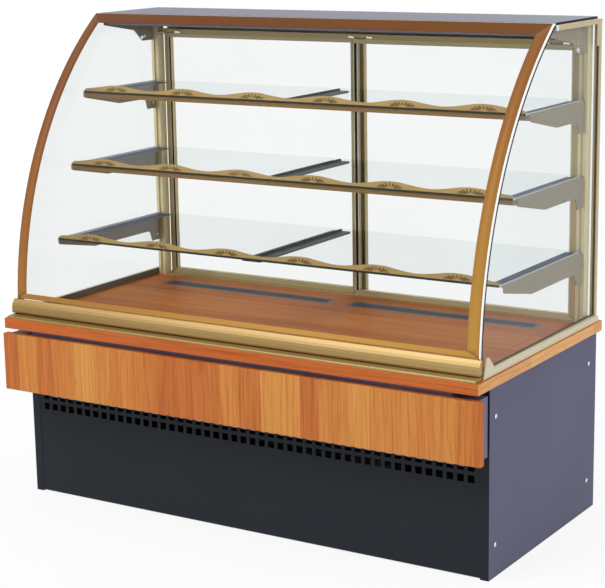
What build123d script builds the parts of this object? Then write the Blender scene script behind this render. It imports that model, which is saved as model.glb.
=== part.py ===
"""Pastry display case: refrigerated base, wooden counter, curved glass box with three shelf levels.

Millimetres. +X to the right, +Y to the rear (service side), +Z up. The origin is on the floor, under the
centre of the counter.
"""
from build123d import *
from math import sqrt, sin, cos, radians
import os

os.makedirs("parts", exist_ok=True)

# Sizes of the counter and the base
counter_width = 1480.0
counter_depth = 755.0
counter_thick = 30.0
counter_top = 530.0
counter_edge_radius = 3.0
deck_thick = 12.0
deck_width = 1310.0
deck_depth = 580.0
deck_front_setback = 105.0
deck_ledge = 15.0
slot_length = 589.0
slot_depth = 56.0
slot_from_centre = 30.0
slot_front_setback = 578.0
slot_ledge = 4.0
grille_thick = 4.0
grille_bar_pitch = 9.3
grille_bar_gap = 5.0

base_width = 1454.0
base_front_setback = 89.0
base_rear_setback = 8.0
sheet = 2.0
side_flange = 24.0
panel_lap = 12.0
panel_floor_gap = 4.0
air_hole = 19.0
air_pitch = 29.4
air_columns = 47
air_rows = 3
air_lowest = 258.0

fascia_width = 1492.0
fascia_thick = 20.0
fascia_height = 162.0
fascia_gap = 15.0
carrier_width = 1464.0
carrier_body_width = 1320.0
carrier_height = 167.0
carrier_drop = 3.0
carrier_wing_depth = 47.0
carrier_wing_drop = 1.0

cap_radius = 6.0
cap_height = 2.5
cap_shank_radius = 2.5
cap_front_inset = 30.0
cap_rear_inset = 55.0
cap_low = 88.0
cap_high = 420.0

louvre_width = 150.0
louvre_height = 9.0
louvre_pitch = 24.0
louvre_rows = 9
louvre_lowest = 70.0
louvre_from_centre = 330.0

# Sizes of the cooling parts
well_width = 1330.0
well_depth = 600.0
well_front_setback = 100.0
well_height = 215.0
well_wall = 25.0
coil_length = 700.0
coil_depth = 90.0
coil_height = 130.0
coil_fins = 36
fin_thick = 1.5
tube_radius = 5.0
fan_radius = 62.0
fan_hub_radius = 18.0
fan_blades = 5
fan_shaft_radius = 4.0
condenser_length = 300.0
condenser_fins = 24
running_clearance = 0.05
compressor_radius = 75.0
compressor_height = 150.0

control_width = 170.0
control_height = 92.0
control_recess = 14.0
control_body_depth = 28.0
control_centre_x = 480.0
control_centre_z = 380.0
control_rim = 10.0
rocker_width = 20.0
rocker_height = 24.0
rocker_tilt = 8.0
rocker_pin_radius = 1.5
rocker_gap = 1.7
knob_radius = 16.0
knob_height = 12.0
knob_shaft_radius = 3.0
inlet_width = 28.0
inlet_height = 20.0
inlet_depth = 16.0

# Sizes of the glass box
case_top = 1350.0
glass_thick = 6.0
glass_width = 1448.0
curve_radius = 1020.0
curve_start = 536.0
curve_front_setback = 40.0
border_side = 32.0
border_inset = 3.0
border_band = 30.0
border_low_band = 15.0
border_thick = 0.8
moulding_length = 1460.0
pivot_setback = 33.0
pivot_height = 17.0
pivot_bead_radius = 4.0
pivot_neck = 3.0
rail_lip_setback = 3.0
rail_lip_round = 1.6
bullnose_radius = 9.0
moulding_height = 49.0
clamp_wall = 2.6
tilt_range = 45.0

rail_outer = 735.0
rail_height = 16.0
rail_front_setback = 66.0
rail_rear_setback = 17.0
rail_foot = 3.0
plate_thick = 3.6
plate_round = 6.0
side_glass_rear_setback = 25.0
frame_top = 1344.0
frame_leg = 13.0
frame_wall = 2.6
gasket_thick = 3.0
gasket_gap = 0.4
top_frame_front_setback = 454.0
stile_depth = 15.0
stile_tab = 70.0
end_cap_length = 14.0

roof_width = 1432.0
roof_rear_setback = 15.0
roof_thick = 6.0
lamp_drop = 28.0
lamp_depth = 46.0
lamp_tube_radius = 8.0

post_inner = 686.0
post_outer = 711.0
post_front_setback = 692.0
post_depth = 30.0
post_slot_width = 7.0
post_slot_depth = 5.0

# Sizes of the shelves
shelf_width = 1392.0
shelf_glass_thick = 6.0
shelf_rear_setback = 690.0
shelf_levels = (("bottom", 728.0, 201.0), ("middle", 933.0, 275.0), ("top", 1135.0, 344.0))
pane_gap = 3.0
trim_waves = 6
trim_pitch = 232.0
trim_peak = 19.0
trim_valley = 7.0
trim_end = 2.0
trim_thick = 3.0
trim_hook = 14.0
fan_width = 80.0
fan_height = 13.5
fan_base = 1.3
fan_petals = 9
profile_height = 12.0
profile_depth = 12.0
bar_width = 58.0
bar_thick = 6.0
pane_joint_x = -45.0
bracket_x = 704.0
bracket_thick = 2.5
bracket_flange = 48.0
bracket_lap = 4.0
bracket_front = 6.0
bracket_tip = 20.0
bracket_taper = 165.0
bracket_belly = 52.0
bracket_tab = 84.0
bracket_tab_width = 40.0

# Sizes of the rear doors
door_depth = 17.0
door_overlap = 30.0
door_gap = 2.0
door_stile = 22.0
door_low_rail = 16.5
door_top = 1284.0
door_glass_thick = 4.0
door_front_setback = 700.0
door_track_pitch = 23.0
track_wall = 2.0
track_top = 1289.0
track_lip_bottom = 1274.0
lower_track_base = 1.0
lower_track_lip = 4.5
glide_length = 40.0
glide_width = 12.0
glide_thick = 1.2
pull_width = 15.0
pull_depth = 4.5
pull_top = 1060.0
pull_bottom = 610.0

# Small clearances
seat_gap = 0.3
slide_gap = 1.0

# Places that follow from the sizes
front = -counter_depth / 2
rear = counter_depth / 2
counter_under = counter_top - counter_thick
base_half = base_width / 2
base_front = front + base_front_setback
base_rear = rear - base_rear_setback
well_front = front + well_front_setback
deck_y = front + deck_front_setback + deck_depth / 2
deck_seat = counter_top - deck_thick
slot_y = front + slot_front_setback + slot_depth / 2
slot_x = slot_from_centre + slot_length / 2
glass_half = glass_width / 2
curve_y = front + curve_front_setback + curve_radius
pivot_y = front + pivot_setback
pivot_z = counter_top + pivot_height
post_y = front + post_front_setback
right_door_y = front + door_front_setback + door_depth / 2
left_door_y = right_door_y + door_track_pitch
door_half_span = post_inner - door_gap
door_width = door_half_span + door_overlap / 2
door_bottom = counter_top + lower_track_base + seat_gap + glide_thick
rear_panel_y = base_rear - sheet
roof_under = case_top - roof_thick


def curve_at(z, radius):
    """Y of the front curve at height z, on the arc of the given radius."""
    return curve_y - sqrt(radius ** 2 - (z - curve_start) ** 2)


def finish_node(name, builder):
    """Label a sub-part and write its file."""
    builder.part.label = name
    export_step(builder.part, "parts/" + name + ".step")


def block(x0, x1, y0, y1, z0, z1, mode=Mode.ADD):
    """A box between six planes."""
    with Locations(((x0 + x1) / 2, (y0 + y1) / 2, (z0 + z1) / 2)):
        Box(abs(x1 - x0), abs(y1 - y0), abs(z1 - z0), mode=mode)


cap_rows = (base_front + cap_front_inset, base_rear - cap_rear_inset)


def rod_x(x0, x1, y, z, radius, mode=Mode.ADD):
    """A cylinder along X."""
    with Locations(Location(((x0 + x1) / 2, y, z), (0, 90, 0))):
        Cylinder(radius, abs(x1 - x0), mode=mode)


def rod_y(x, y0, y1, z, radius, mode=Mode.ADD):
    """A cylinder along Y."""
    with Locations(Location((x, (y0 + y1) / 2, z), (90, 0, 0))):
        Cylinder(radius, abs(y1 - y0), mode=mode)


def extrude_x(points, x0, x1, mode=Mode.ADD):
    """A prism along X from a closed outline of (y, z) points."""
    with BuildSketch(Plane.YZ.offset(x0)) as profile:
        with BuildLine():
            Polyline(*points, close=True)
        make_face()
    extrude(profile.sketch, amount=x1 - x0, mode=mode)


def curved_sheet(r_outer, r_inner, z0, z1, x0, x1, mode=Mode.ADD):
    """A sheet that follows the front curve between two heights."""
    zm = (z0 + z1) / 2
    with BuildSketch(Plane.YZ.offset(x0)) as profile:
        with BuildLine():
            ThreePointArc((curve_at(z0, r_outer), z0), (curve_at(zm, r_outer), zm), (curve_at(z1, r_outer), z1))
            Line((curve_at(z1, r_outer), z1), (curve_at(z1, r_inner), z1))
            ThreePointArc((curve_at(z1, r_inner), z1), (curve_at(zm, r_inner), zm), (curve_at(z0, r_inner), z0))
            Line((curve_at(z0, r_inner), z0), (curve_at(z0, r_outer), z0))
        make_face()
    extrude(profile.sketch, amount=x1 - x0, mode=mode)


# Base cabinet

def make_side_panel(name, side):
    """Folded steel side: outer skin with flanges turned inwards on all four edges."""
    outer = side * base_half
    skin = side * (base_half - sheet)
    lip = side * (base_half - side_flange)
    with BuildPart() as panel:
        block(skin, outer, base_front, base_rear, 0, counter_under)
        block(lip, skin, base_front, base_front + sheet, 0, counter_under)
        block(lip, skin, base_rear - sheet, base_rear, 0, counter_under)
        block(lip, skin, base_front, base_rear, 0, sheet)
        block(lip, skin, base_front, base_rear, counter_under - sheet, counter_under)
        for y in cap_rows:
            for z in (cap_low, cap_high):
                rod_x(lip, outer + side, y, z, cap_shank_radius + seat_gap, Mode.SUBTRACT)
    finish_node(name, panel)


make_side_panel("side_panel_left", -1)
make_side_panel("side_panel_right", 1)

# Capped screws of the side panels, eight alike
with BuildPart() as side_panel_screws:
    for side in (-1, 1):
        for y in cap_rows:
            for z in (cap_low, cap_high):
                rod_x(side * base_half, side * (base_half + cap_height), y, z, cap_radius)
                rod_x(side * (base_half - 5 * sheet), side * base_half, y, z, cap_shank_radius)
finish_node("side_panel_screws", side_panel_screws)

# Front panel: lies behind the side flanges, with rows of square air holes
panel_half = base_half - side_flange + panel_lap
panel_top = counter_under - sheet - seat_gap
front_panel_y = base_front + sheet
with BuildPart() as front_panel:
    block(-panel_half, panel_half, front_panel_y, front_panel_y + sheet, panel_floor_gap, panel_top)
    with BuildSketch(Plane.XZ.offset(-front_panel_y)):
        with Locations((0, air_lowest + air_pitch * (air_rows - 1) / 2)):
            with GridLocations(air_pitch, air_pitch, air_columns, air_rows):
                Rectangle(air_hole, air_hole)
    extrude(amount=-sheet, mode=Mode.SUBTRACT)
finish_node("front_panel", front_panel)

# Rear service panel with hooded louvres and the cut-out of the control box
with BuildPart() as rear_panel:
    block(-panel_half, panel_half, rear_panel_y - sheet, rear_panel_y, panel_floor_gap, panel_top)
    block(control_centre_x - control_width / 2 - seat_gap, control_centre_x + control_width / 2 + seat_gap,
          rear_panel_y - sheet, rear_panel_y, control_centre_z - control_height / 2 - seat_gap,
          control_centre_z + control_height / 2 + seat_gap, Mode.SUBTRACT)
    for x in (-louvre_from_centre, 0, louvre_from_centre):
        for row in range(louvre_rows):
            low = louvre_lowest + row * louvre_pitch
            high = low + louvre_height
            inner = rear_panel_y - sheet
            block(x - louvre_width / 2, x + louvre_width / 2, inner, rear_panel_y, low, high, Mode.SUBTRACT)
            extrude_x([(inner, high), (inner, high + sheet), (rear_panel_y, high + sheet),
                       (rear_panel_y + louvre_height / 2, low), (rear_panel_y + louvre_height / 2 - sheet, low)],
                      x - louvre_width / 2, x + louvre_width / 2)
finish_node("rear_panel", rear_panel)

# Floor tray: lies on the bottom flanges of the sides, edges turned up
tray_half = base_half - sheet - seat_gap
tray_front = front_panel_y + sheet + seat_gap
tray_rear = rear_panel_y - sheet - seat_gap
tray_top = 2 * sheet
with BuildPart() as floor_tray:
    block(-tray_half, tray_half, tray_front, tray_rear, sheet, sheet + 10 * sheet)
    block(-tray_half + sheet, tray_half - sheet, tray_front + sheet, tray_rear - sheet, tray_top,
          sheet + 10 * sheet, Mode.SUBTRACT)
finish_node("floor_tray", floor_tray)

# Wooden fascia board
fascia_top = counter_under - fascia_gap
with BuildPart() as fascia_board:
    block(-fascia_width / 2, fascia_width / 2, front, front + fascia_thick, fascia_top - fascia_height, fascia_top)
    fillet(fascia_board.faces().sort_by(Axis.Y)[0].edges(), 1.0)
finish_node("fascia_board", fascia_board)

# Folded steel box that carries the fascia, open to the rear, with a lower shallow wing at each end
carrier_half = carrier_width / 2
carrier_body_half = carrier_body_width / 2
carrier_front = front + fascia_thick
carrier_top = counter_under - carrier_drop
carrier_low = carrier_top - carrier_height
wing_top = fascia_top - carrier_wing_drop
wing_rear = carrier_front + carrier_wing_depth
carrier_rear = base_front + sheet
with BuildPart() as fascia_carrier:
    block(-carrier_body_half, carrier_body_half, carrier_front, carrier_rear, carrier_low, carrier_top)
    block(-carrier_half, carrier_half, carrier_front, wing_rear, carrier_low, wing_top)
    block(-carrier_body_half + sheet, carrier_body_half - sheet, carrier_front + sheet, carrier_rear - sheet,
          carrier_low + sheet, carrier_top - sheet, Mode.SUBTRACT)
    block(-carrier_body_half + side_flange, carrier_body_half - side_flange, carrier_rear - sheet, carrier_rear,
          carrier_low + side_flange, carrier_top - side_flange, Mode.SUBTRACT)
    for side in (-1, 1):
        block(side * carrier_body_half, side * (carrier_half - sheet), carrier_front + sheet, wing_rear,
              carrier_low + sheet, wing_top - sheet, Mode.SUBTRACT)
finish_node("fascia_carrier", fascia_carrier)

# Counter board with the cut-out over the well and the rebate for the deck
with BuildPart() as counter_board:
    block(-counter_width / 2, counter_width / 2, front, rear, counter_under, counter_top)
    fillet(counter_board.edges(), counter_edge_radius)
    block(-deck_width / 2, deck_width / 2, deck_y - deck_depth / 2, deck_y + deck_depth / 2, deck_seat,
          counter_top, Mode.SUBTRACT)
    block(-deck_width / 2 + deck_ledge, deck_width / 2 - deck_ledge, deck_y - deck_depth / 2 + deck_ledge,
          deck_y + deck_depth / 2 - deck_ledge, counter_under, counter_top, Mode.SUBTRACT)
finish_node("counter_board", counter_board)

# Deck board with two air slots, each with a ledge for its grille
with BuildPart() as deck_board:
    block(-deck_width / 2 + seat_gap, deck_width / 2 - seat_gap, deck_y - deck_depth / 2 + seat_gap,
          deck_y + deck_depth / 2 - seat_gap, deck_seat, counter_top)
    for side in (-1, 1):
        with Locations((side * slot_x, slot_y, counter_top)):
            Box(slot_length, slot_depth, 2 * grille_thick, mode=Mode.SUBTRACT)
            Box(slot_length - 2 * slot_ledge, slot_depth - 2 * slot_ledge, 4 * deck_thick, mode=Mode.SUBTRACT)
finish_node("deck_board", deck_board)

# Air grilles that lie in the two slots
grille_bars = int((slot_length - 4 * slot_ledge) / grille_bar_pitch)
with BuildPart() as deck_air_grilles:
    for side in (-1, 1):
        with Locations((side * slot_x, slot_y, counter_top - grille_thick / 2)):
            Box(slot_length - 2 * seat_gap, slot_depth - 2 * seat_gap, grille_thick)
            with GridLocations(grille_bar_pitch, 1, grille_bars, 1):
                Box(grille_bar_gap, slot_depth - 4 * slot_ledge, 2 * grille_thick, mode=Mode.SUBTRACT)
finish_node("deck_air_grilles", deck_air_grilles)


# Cooling parts under the deck

well_floor = counter_under - well_height + well_wall
with BuildPart() as cold_well:
    block(-well_width / 2, well_width / 2, well_front, well_front + well_depth, counter_under - well_height,
          counter_under)
    block(-well_width / 2 + well_wall, well_width / 2 - well_wall, well_front + well_wall,
          well_front + well_depth - well_wall, well_floor, counter_under, Mode.SUBTRACT)
finish_node("cold_well", cold_well)

fan_plate_gap = 3 * fan_hub_radius


def make_coil(name, x, y, z, length, fins):
    """Finned coil with end plates, a fan plate in front of it, and the fan's motor and shaft."""
    plate_y = y - fan_plate_gap
    mid = z + coil_height / 2
    fin_pitch = (length - fin_thick) / (fins - 1)
    with BuildPart() as coil:
        with Locations((x, y + coil_depth / 2, mid)):
            with GridLocations(fin_pitch, 1, fins, 1):
                Box(fin_thick, coil_depth, coil_height)
        for dy in (coil_depth / 4, 3 * coil_depth / 4):
            for dz in (-coil_height / 3, 0, coil_height / 3):
                rod_x(x - length / 2, x + length / 2, y + dy, mid + dz, tube_radius)
        for end in (-1, 1):
            block(x + end * length / 2, x + end * (length / 2 - sheet), plate_y, y + coil_depth, z, z + coil_height)
        block(x - length / 2, x + length / 2, plate_y, plate_y + sheet, z, z + coil_height)
        rod_y(x, plate_y, plate_y + sheet, mid, fan_radius + slide_gap, Mode.SUBTRACT)
        block(x - fan_hub_radius / 2, x + fan_hub_radius / 2, plate_y + sheet, plate_y + 2 * sheet, z,
              z + coil_height)
        rod_y(x, plate_y + 2 * sheet, y - sheet, mid, fan_hub_radius)
        rod_y(x, plate_y - fan_hub_radius, plate_y + 2 * sheet, mid, fan_shaft_radius)
    finish_node(name, coil)


def make_fan(name, x, y, z):
    """Fan wheel on the motor shaft: hub with a bore and pitched blades."""
    plate_y = y - fan_plate_gap
    mid = z + coil_height / 2
    blade_y = plate_y - fan_hub_radius / 2 - sheet
    reach = fan_radius - sheet
    with BuildPart() as fan:
        rod_y(x, blade_y - fan_hub_radius / 2, blade_y + fan_hub_radius / 2, mid, fan_hub_radius)
        for blade in range(fan_blades):
            turn = radians(360 * blade / fan_blades)
            radial = Vector(cos(turn), 0, sin(turn))
            normal = Vector(-sin(turn) * sin(radians(30)), cos(radians(30)), cos(turn) * sin(radians(30)))
            middle = Vector(x, blade_y, mid) + radial * ((reach + fan_hub_radius - sheet) / 2)
            with Locations(Plane(middle, x_dir=radial, z_dir=normal)):
                Box(reach - fan_hub_radius + sheet, 1.2 * fan_hub_radius, sheet)
        rod_y(x, blade_y - fan_hub_radius, blade_y + fan_hub_radius, mid, fan_shaft_radius + running_clearance,
              Mode.SUBTRACT)
    finish_node(name, fan)


coil_x = -100.0
coil_y = well_front + well_depth / 2
condenser_x = 420.0
condenser_y = coil_y
make_coil("evaporator_coil", coil_x, coil_y, well_floor, coil_length, coil_fins)
make_fan("evaporator_fan", coil_x, coil_y, well_floor)
make_coil("condenser_coil", condenser_x, condenser_y, tray_top, condenser_length, condenser_fins)
make_fan("condenser_fan", condenser_x, condenser_y, tray_top)

# Compressor with its foot plate and terminal box, standing on the tray
compressor_x = -320.0
with BuildPart() as compressor:
    block(compressor_x - compressor_radius, compressor_x + compressor_radius, coil_y - compressor_radius,
          coil_y + compressor_radius, tray_top, tray_top + 2 * sheet)
    with BuildSketch(Plane.XY.offset(tray_top + 2 * sheet)):
        with Locations((compressor_x, coil_y)):
            Circle(compressor_radius - 2 * sheet)
    extrude(amount=compressor_height)
    fillet(compressor.faces().sort_by(Axis.Z)[-1].edges(), compressor_radius / 3)
    block(compressor_x + compressor_radius - 4 * sheet, compressor_x + compressor_radius + 10 * sheet,
          coil_y - 20, coil_y + 20, tray_top + compressor_height / 3, tray_top + 2 * compressor_height / 3)
finish_node("compressor", compressor)

# Control box, recessed in the rear panel
face_y = rear_panel_y + sheet - control_recess
box_x0 = control_centre_x - control_width / 2
box_x1 = control_centre_x + control_width / 2
box_z0 = control_centre_z - control_height / 2
box_z1 = control_centre_z + control_height / 2
rocker_x = control_centre_x - control_width * 0.3
inlet_x = control_centre_x + control_width * 0.3
rocker_y = face_y - sheet - 5.0
rocker_half = rocker_width / 2
with BuildPart() as control_box:
    block(box_x0, box_x1, face_y - sheet - control_body_depth, rear_panel_y + sheet, box_z0, box_z1)
    block(box_x0 - control_rim, box_x1 + control_rim, rear_panel_y, rear_panel_y + sheet, box_z0 - control_rim,
          box_z1 + control_rim)
    block(box_x0 + sheet, box_x1 - sheet, face_y, rear_panel_y + sheet, box_z0 + sheet, box_z1 - sheet,
          Mode.SUBTRACT)
    block(box_x0 + sheet, box_x1 - sheet, face_y - control_body_depth, face_y - sheet, box_z0 + sheet,
          box_z1 - sheet, Mode.SUBTRACT)
    block(rocker_x - rocker_half - seat_gap, rocker_x + rocker_half + seat_gap, face_y - sheet, face_y,
          control_centre_z - rocker_height / 2 - rocker_gap, control_centre_z + rocker_height / 2 + rocker_gap,
          Mode.SUBTRACT)
    for side in (-1, 1):
        ear = rocker_x + side * (rocker_half + seat_gap)
        block(ear, ear + side * sheet, rocker_y - 3 * sheet, face_y - sheet / 2, control_centre_z - 3 * sheet,
              control_centre_z + 3 * sheet)
        rod_x(ear, ear + side * sheet, rocker_y, control_centre_z, rocker_pin_radius + running_clearance,
              Mode.SUBTRACT)
    rod_y(control_centre_x, face_y - sheet, face_y, control_centre_z, knob_shaft_radius + running_clearance,
          Mode.SUBTRACT)
    block(inlet_x - inlet_width / 2 - seat_gap, inlet_x + inlet_width / 2 + seat_gap, face_y - sheet, face_y,
          control_centre_z - inlet_height / 2 - seat_gap, control_centre_z + inlet_height / 2 + seat_gap,
          Mode.SUBTRACT)
finish_node("control_box", control_box)

# Rocker switch, drawn with one end pressed in
tilt = radians(rocker_tilt)
rocker_reach = face_y - rocker_y + 1.5
rocker_rise = rocker_height / 2 * sin(tilt) / cos(tilt)
rocker_outline = [(-3.0, -rocker_height / 2), (rocker_reach + rocker_rise, -rocker_height / 2),
                  (rocker_reach, 0), (rocker_reach + rocker_rise, rocker_height / 2), (-3.0, rocker_height / 2)]
with BuildPart() as rocker_switch:
    extrude_x([(rocker_y + dy * cos(tilt) + dz * sin(tilt), control_centre_z - dy * sin(tilt) + dz * cos(tilt))
               for dy, dz in rocker_outline], rocker_x - rocker_half, rocker_x + rocker_half)
    rod_x(rocker_x - rocker_half - sheet, rocker_x + rocker_half + sheet, rocker_y, control_centre_z,
          rocker_pin_radius)
finish_node("rocker_switch", rocker_switch)

# Thermostat knob with its shaft and pointer ridge
with BuildPart() as thermostat_knob:
    rod_y(control_centre_x, face_y + seat_gap, face_y + seat_gap + knob_height, control_centre_z, knob_radius)
    chamfer(thermostat_knob.faces().sort_by(Axis.Y)[-1].edges(), 1.5)
    rod_y(control_centre_x, face_y - knob_height, face_y + knob_height / 2, control_centre_z, knob_shaft_radius)
    block(control_centre_x - 1, control_centre_x + 1, face_y + knob_height / 2, face_y + seat_gap + knob_height + 1,
          control_centre_z, control_centre_z + knob_radius - 2)
finish_node("thermostat_knob", thermostat_knob)

# Power inlet: flanged socket with three blades
with BuildPart() as power_inlet:
    with Locations((inlet_x, face_y + sheet / 2, control_centre_z)):
        Box(inlet_width + 4 * sheet, sheet, inlet_height + 4 * sheet)
    with Locations((inlet_x, face_y - inlet_depth / 2, control_centre_z)):
        Box(inlet_width, inlet_depth + sheet, inlet_height)
        with Locations((0, sheet, 0)):
            Box(inlet_width - 2 * sheet, inlet_depth + sheet, inlet_height - 2 * sheet, mode=Mode.SUBTRACT)
    for dx, dz in ((-7.0, -2.0), (7.0, -2.0), (0, 3.0)):
        with Locations((inlet_x + dx, face_y - inlet_depth + 3.5, control_centre_z + dz)):
            Box(sheet, 7.0, 2 * sheet)
finish_node("power_inlet", power_inlet)


# Curved front glass with its moulding

def bead_point(radius, angle):
    """A point round the hinge line of the front glass, as (y, z)."""
    return (pivot_y + radius * cos(radians(angle)), pivot_z + radius * sin(radians(angle)))


# Angles in the section of the hinge: neck of the bead, and the mouth that passes round it
neck_angle = -60.0
neck_spread = 30.0
glass_low = pivot_z + 3.3
clamp_top = counter_top + moulding_height
clamp_rear = curve_at(clamp_top, curve_radius - glass_thick) + clamp_wall
bead_outer = pivot_bead_radius + running_clearance
front_half = moulding_length / 2

# Fixed base rail with a lip along the counter's front edge and the hinge bead along its whole length
rail_crest = pivot_z - bullnose_radius - 2 * seat_gap
lip_front = front + rail_lip_setback
with BuildPart() as front_base_rail:
    extrude_x([(lip_front, counter_top), (lip_front, rail_crest - 2 - rail_lip_round),
               (lip_front + rail_lip_round, rail_crest - 2), (pivot_y - bullnose_radius, rail_crest - 0.6),
               (pivot_y - 4, rail_crest), (clamp_rear - 1, rail_crest - 1), (clamp_rear + 2, counter_top)],
              -front_half, front_half)
    rod_x(-front_half, front_half, pivot_y, pivot_z, pivot_bead_radius)
    neck_dir = (cos(radians(neck_angle)), sin(radians(neck_angle)))
    foot = bead_point(bullnose_radius + 3, neck_angle)
    half = pivot_neck / 2
    extrude_x([(pivot_y - neck_dir[1] * half, pivot_z + neck_dir[0] * half),
               (pivot_y + neck_dir[1] * half, pivot_z - neck_dir[0] * half),
               (foot[0] + neck_dir[1] * half, foot[1] - neck_dir[0] * half),
               (foot[0] - neck_dir[1] * half, foot[1] + neck_dir[0] * half)], -front_half, front_half)
finish_node("front_base_rail", front_base_rail)

# Tipping moulding: bullnose round the bead and the clamp of the glass
mouth_from = neck_angle + neck_spread
mouth_to = neck_angle - neck_spread - tilt_range
clamp_low = pivot_z - bullnose_radius * 0.6
with BuildPart() as front_moulding:
    rod_x(-front_half, front_half, pivot_y, pivot_z, bullnose_radius)
    slot_front = curve_at(clamp_top, curve_radius) - 0.4
    extrude_x([bead_point(bullnose_radius, 165), (pivot_y - bullnose_radius + 0.3, pivot_z + 9),
               (pivot_y - 7, pivot_z + 17), (pivot_y - 3.4, pivot_z + 24), (pivot_y + 0.6, clamp_top - 3),
               (pivot_y + 3, clamp_top),
               (slot_front, clamp_top), (clamp_rear - clamp_wall, clamp_top - 8), (clamp_rear, clamp_top - 7),
               (clamp_rear, clamp_low), (pivot_y, clamp_low)], -front_half, front_half)
    curved_sheet(curve_radius + 2 * seat_gap, curve_radius - glass_thick - seat_gap, glass_low - seat_gap,
                 clamp_top + 5, -front_half, front_half, Mode.SUBTRACT)
    far = 3 * bullnose_radius
    extrude_x([(pivot_y, pivot_z), bead_point(far, mouth_from), bead_point(far, (mouth_from + mouth_to) / 2),
               bead_point(far, mouth_to)], -front_half, front_half, Mode.SUBTRACT)
    rod_x(-front_half, front_half, pivot_y, pivot_z, bead_outer, Mode.SUBTRACT)
finish_node("front_moulding", front_moulding)

with BuildPart() as front_glass:
    curved_sheet(curve_radius, curve_radius - glass_thick, glass_low, case_top, -glass_half, glass_half)
finish_node("front_glass", front_glass)

# Metal border strips on the outside of the front glass
border_half = glass_half - border_inset
border_low = clamp_top + 2
border_r = curve_radius + running_clearance
with BuildPart() as glass_border:
    curved_sheet(border_r + border_thick, border_r, border_low, case_top, -border_half, border_half)
    curved_sheet(border_r + 4 * border_thick, border_r - border_thick, border_low + border_low_band,
                 case_top - border_band, border_side - border_half, border_half - border_side, Mode.SUBTRACT)
finish_node("glass_border", glass_border)


# Sides of the glass box

side_edge_radius = curve_radius - glass_thick - gasket_thick - gasket_gap
rail_y0 = front + rail_front_setback
rail_y1 = rear - rail_rear_setback
rail_top = counter_top + rail_height
glass_inner = glass_half - glass_thick - gasket_gap
glass_outer = glass_half + gasket_gap
rail_inner = glass_inner - 2 * frame_wall
stile_y0 = rear - side_glass_rear_setback
stile_y1 = stile_y0 + stile_depth
side_glass_rear = stile_y0 + stile_depth / 2
frame_outer = glass_outer + frame_wall
frame_inner = glass_inner - 2 * frame_wall


def make_side_rail(name, side):
    """Lower rail with the groove of the side glass and a raised plate at its front end."""
    tail_y = rail_y0 - 27
    with BuildPart() as rail:
        block(side * rail_inner, side * rail_outer, rail_y0, rail_y1, counter_top, rail_top)
        block(side * glass_inner, side * glass_outer, rail_y0, rail_y1, counter_top + rail_foot, rail_top,
              Mode.SUBTRACT)
        with BuildSketch(Plane.YZ.offset(side * (rail_outer - plate_thick))) as plate:
            with BuildLine():
                Polyline((tail_y, counter_top), (tail_y + 4, counter_top + 12), (tail_y + 19, counter_top + 52),
                         (tail_y + 30, counter_top + 50), (tail_y + 62, rail_top), (tail_y + 84, rail_top),
                         (tail_y + 84, counter_top), close=True)
            make_face()
            fillet(plate.vertices().sort_by(Axis.Y)[-2:], plate_round)
        extrude(amount=side * plate_thick)
    finish_node(name, rail)


def make_side_frame(name, side):
    """Upper rail and rear stile in one: a channel round the top and rear edges of the side glass."""
    top_y0 = front + top_frame_front_setback + end_cap_length
    low = frame_top - frame_leg
    with BuildPart() as frame:
        block(side * frame_inner, side * frame_outer, top_y0, stile_y1, low, frame_top)
        block(side * frame_inner, side * frame_outer, stile_y0, stile_y1, rail_top, frame_top)
        block(side * glass_outer, side * frame_outer, stile_y0 - stile_depth, stile_y0, frame_top - stile_tab, low)
        block(side * glass_inner, side * glass_outer, top_y0, side_glass_rear + gasket_gap, rail_top,
              frame_top - frame_wall, Mode.SUBTRACT)
    finish_node(name, frame)


def make_side_glass(name, side):
    """Flat side pane whose front edge follows the curve."""
    radius = side_edge_radius
    low = counter_top + rail_foot + seat_gap
    high = frame_top - frame_wall - gasket_gap
    start = rail_top + 20
    mid = (start + high) / 2
    with BuildPart() as pane:
        with BuildSketch(Plane.YZ.offset(side * (glass_half - glass_thick))):
            with BuildLine():
                ThreePointArc((curve_at(start, radius), start), (curve_at(mid, radius), mid),
                              (curve_at(high, radius), high))
                Polyline((curve_at(high, radius), high), (side_glass_rear, high), (side_glass_rear, low),
                         (rail_y0 + slide_gap, low), (rail_y0 + slide_gap, rail_top + 2),
                         (curve_at(start, radius), start))
            make_face()
        extrude(amount=side * glass_thick)
    finish_node(name, pane)


for side_name, side in (("left", -1), ("right", 1)):
    make_side_rail("side_rail_" + side_name, side)
    make_side_frame("side_frame_" + side_name, side)
    make_side_glass("side_glass_" + side_name, side)

# Rubber seals behind the front glass: one on each side pane and one along the roof
gasket_outer = curve_radius - glass_thick - gasket_gap
roof_edge_radius = side_edge_radius
with BuildPart() as glass_gaskets:
    for side in (-1, 1):
        curved_sheet(gasket_outer, side_edge_radius + running_clearance, clamp_top - 3, roof_under - seat_gap,
                     side * (glass_half - glass_thick - 1.5), side * (glass_half + 1.5))
    curved_sheet(gasket_outer, roof_edge_radius + running_clearance, roof_under, case_top - seat_gap,
                 -roof_width / 2, roof_width / 2)
finish_node("glass_gaskets", glass_gaskets)

# White end caps of the two upper rails
with BuildPart() as rail_end_caps:
    for side in (-1, 1):
        for y0, y1 in ((front + top_frame_front_setback, front + top_frame_front_setback + end_cap_length),
                       (stile_y1, stile_y1 + end_cap_length / 3)):
            block(side * frame_inner, side * frame_outer, y0, y1, frame_top - frame_leg, frame_top)
    for side in (-1, 1):
        block(side * glass_inner, side * glass_outer, front + top_frame_front_setback,
              front + top_frame_front_setback + end_cap_length, frame_top - frame_leg, frame_top - frame_wall,
              Mode.SUBTRACT)
finish_node("rail_end_caps", rail_end_caps)


# Roof and rear posts

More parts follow.
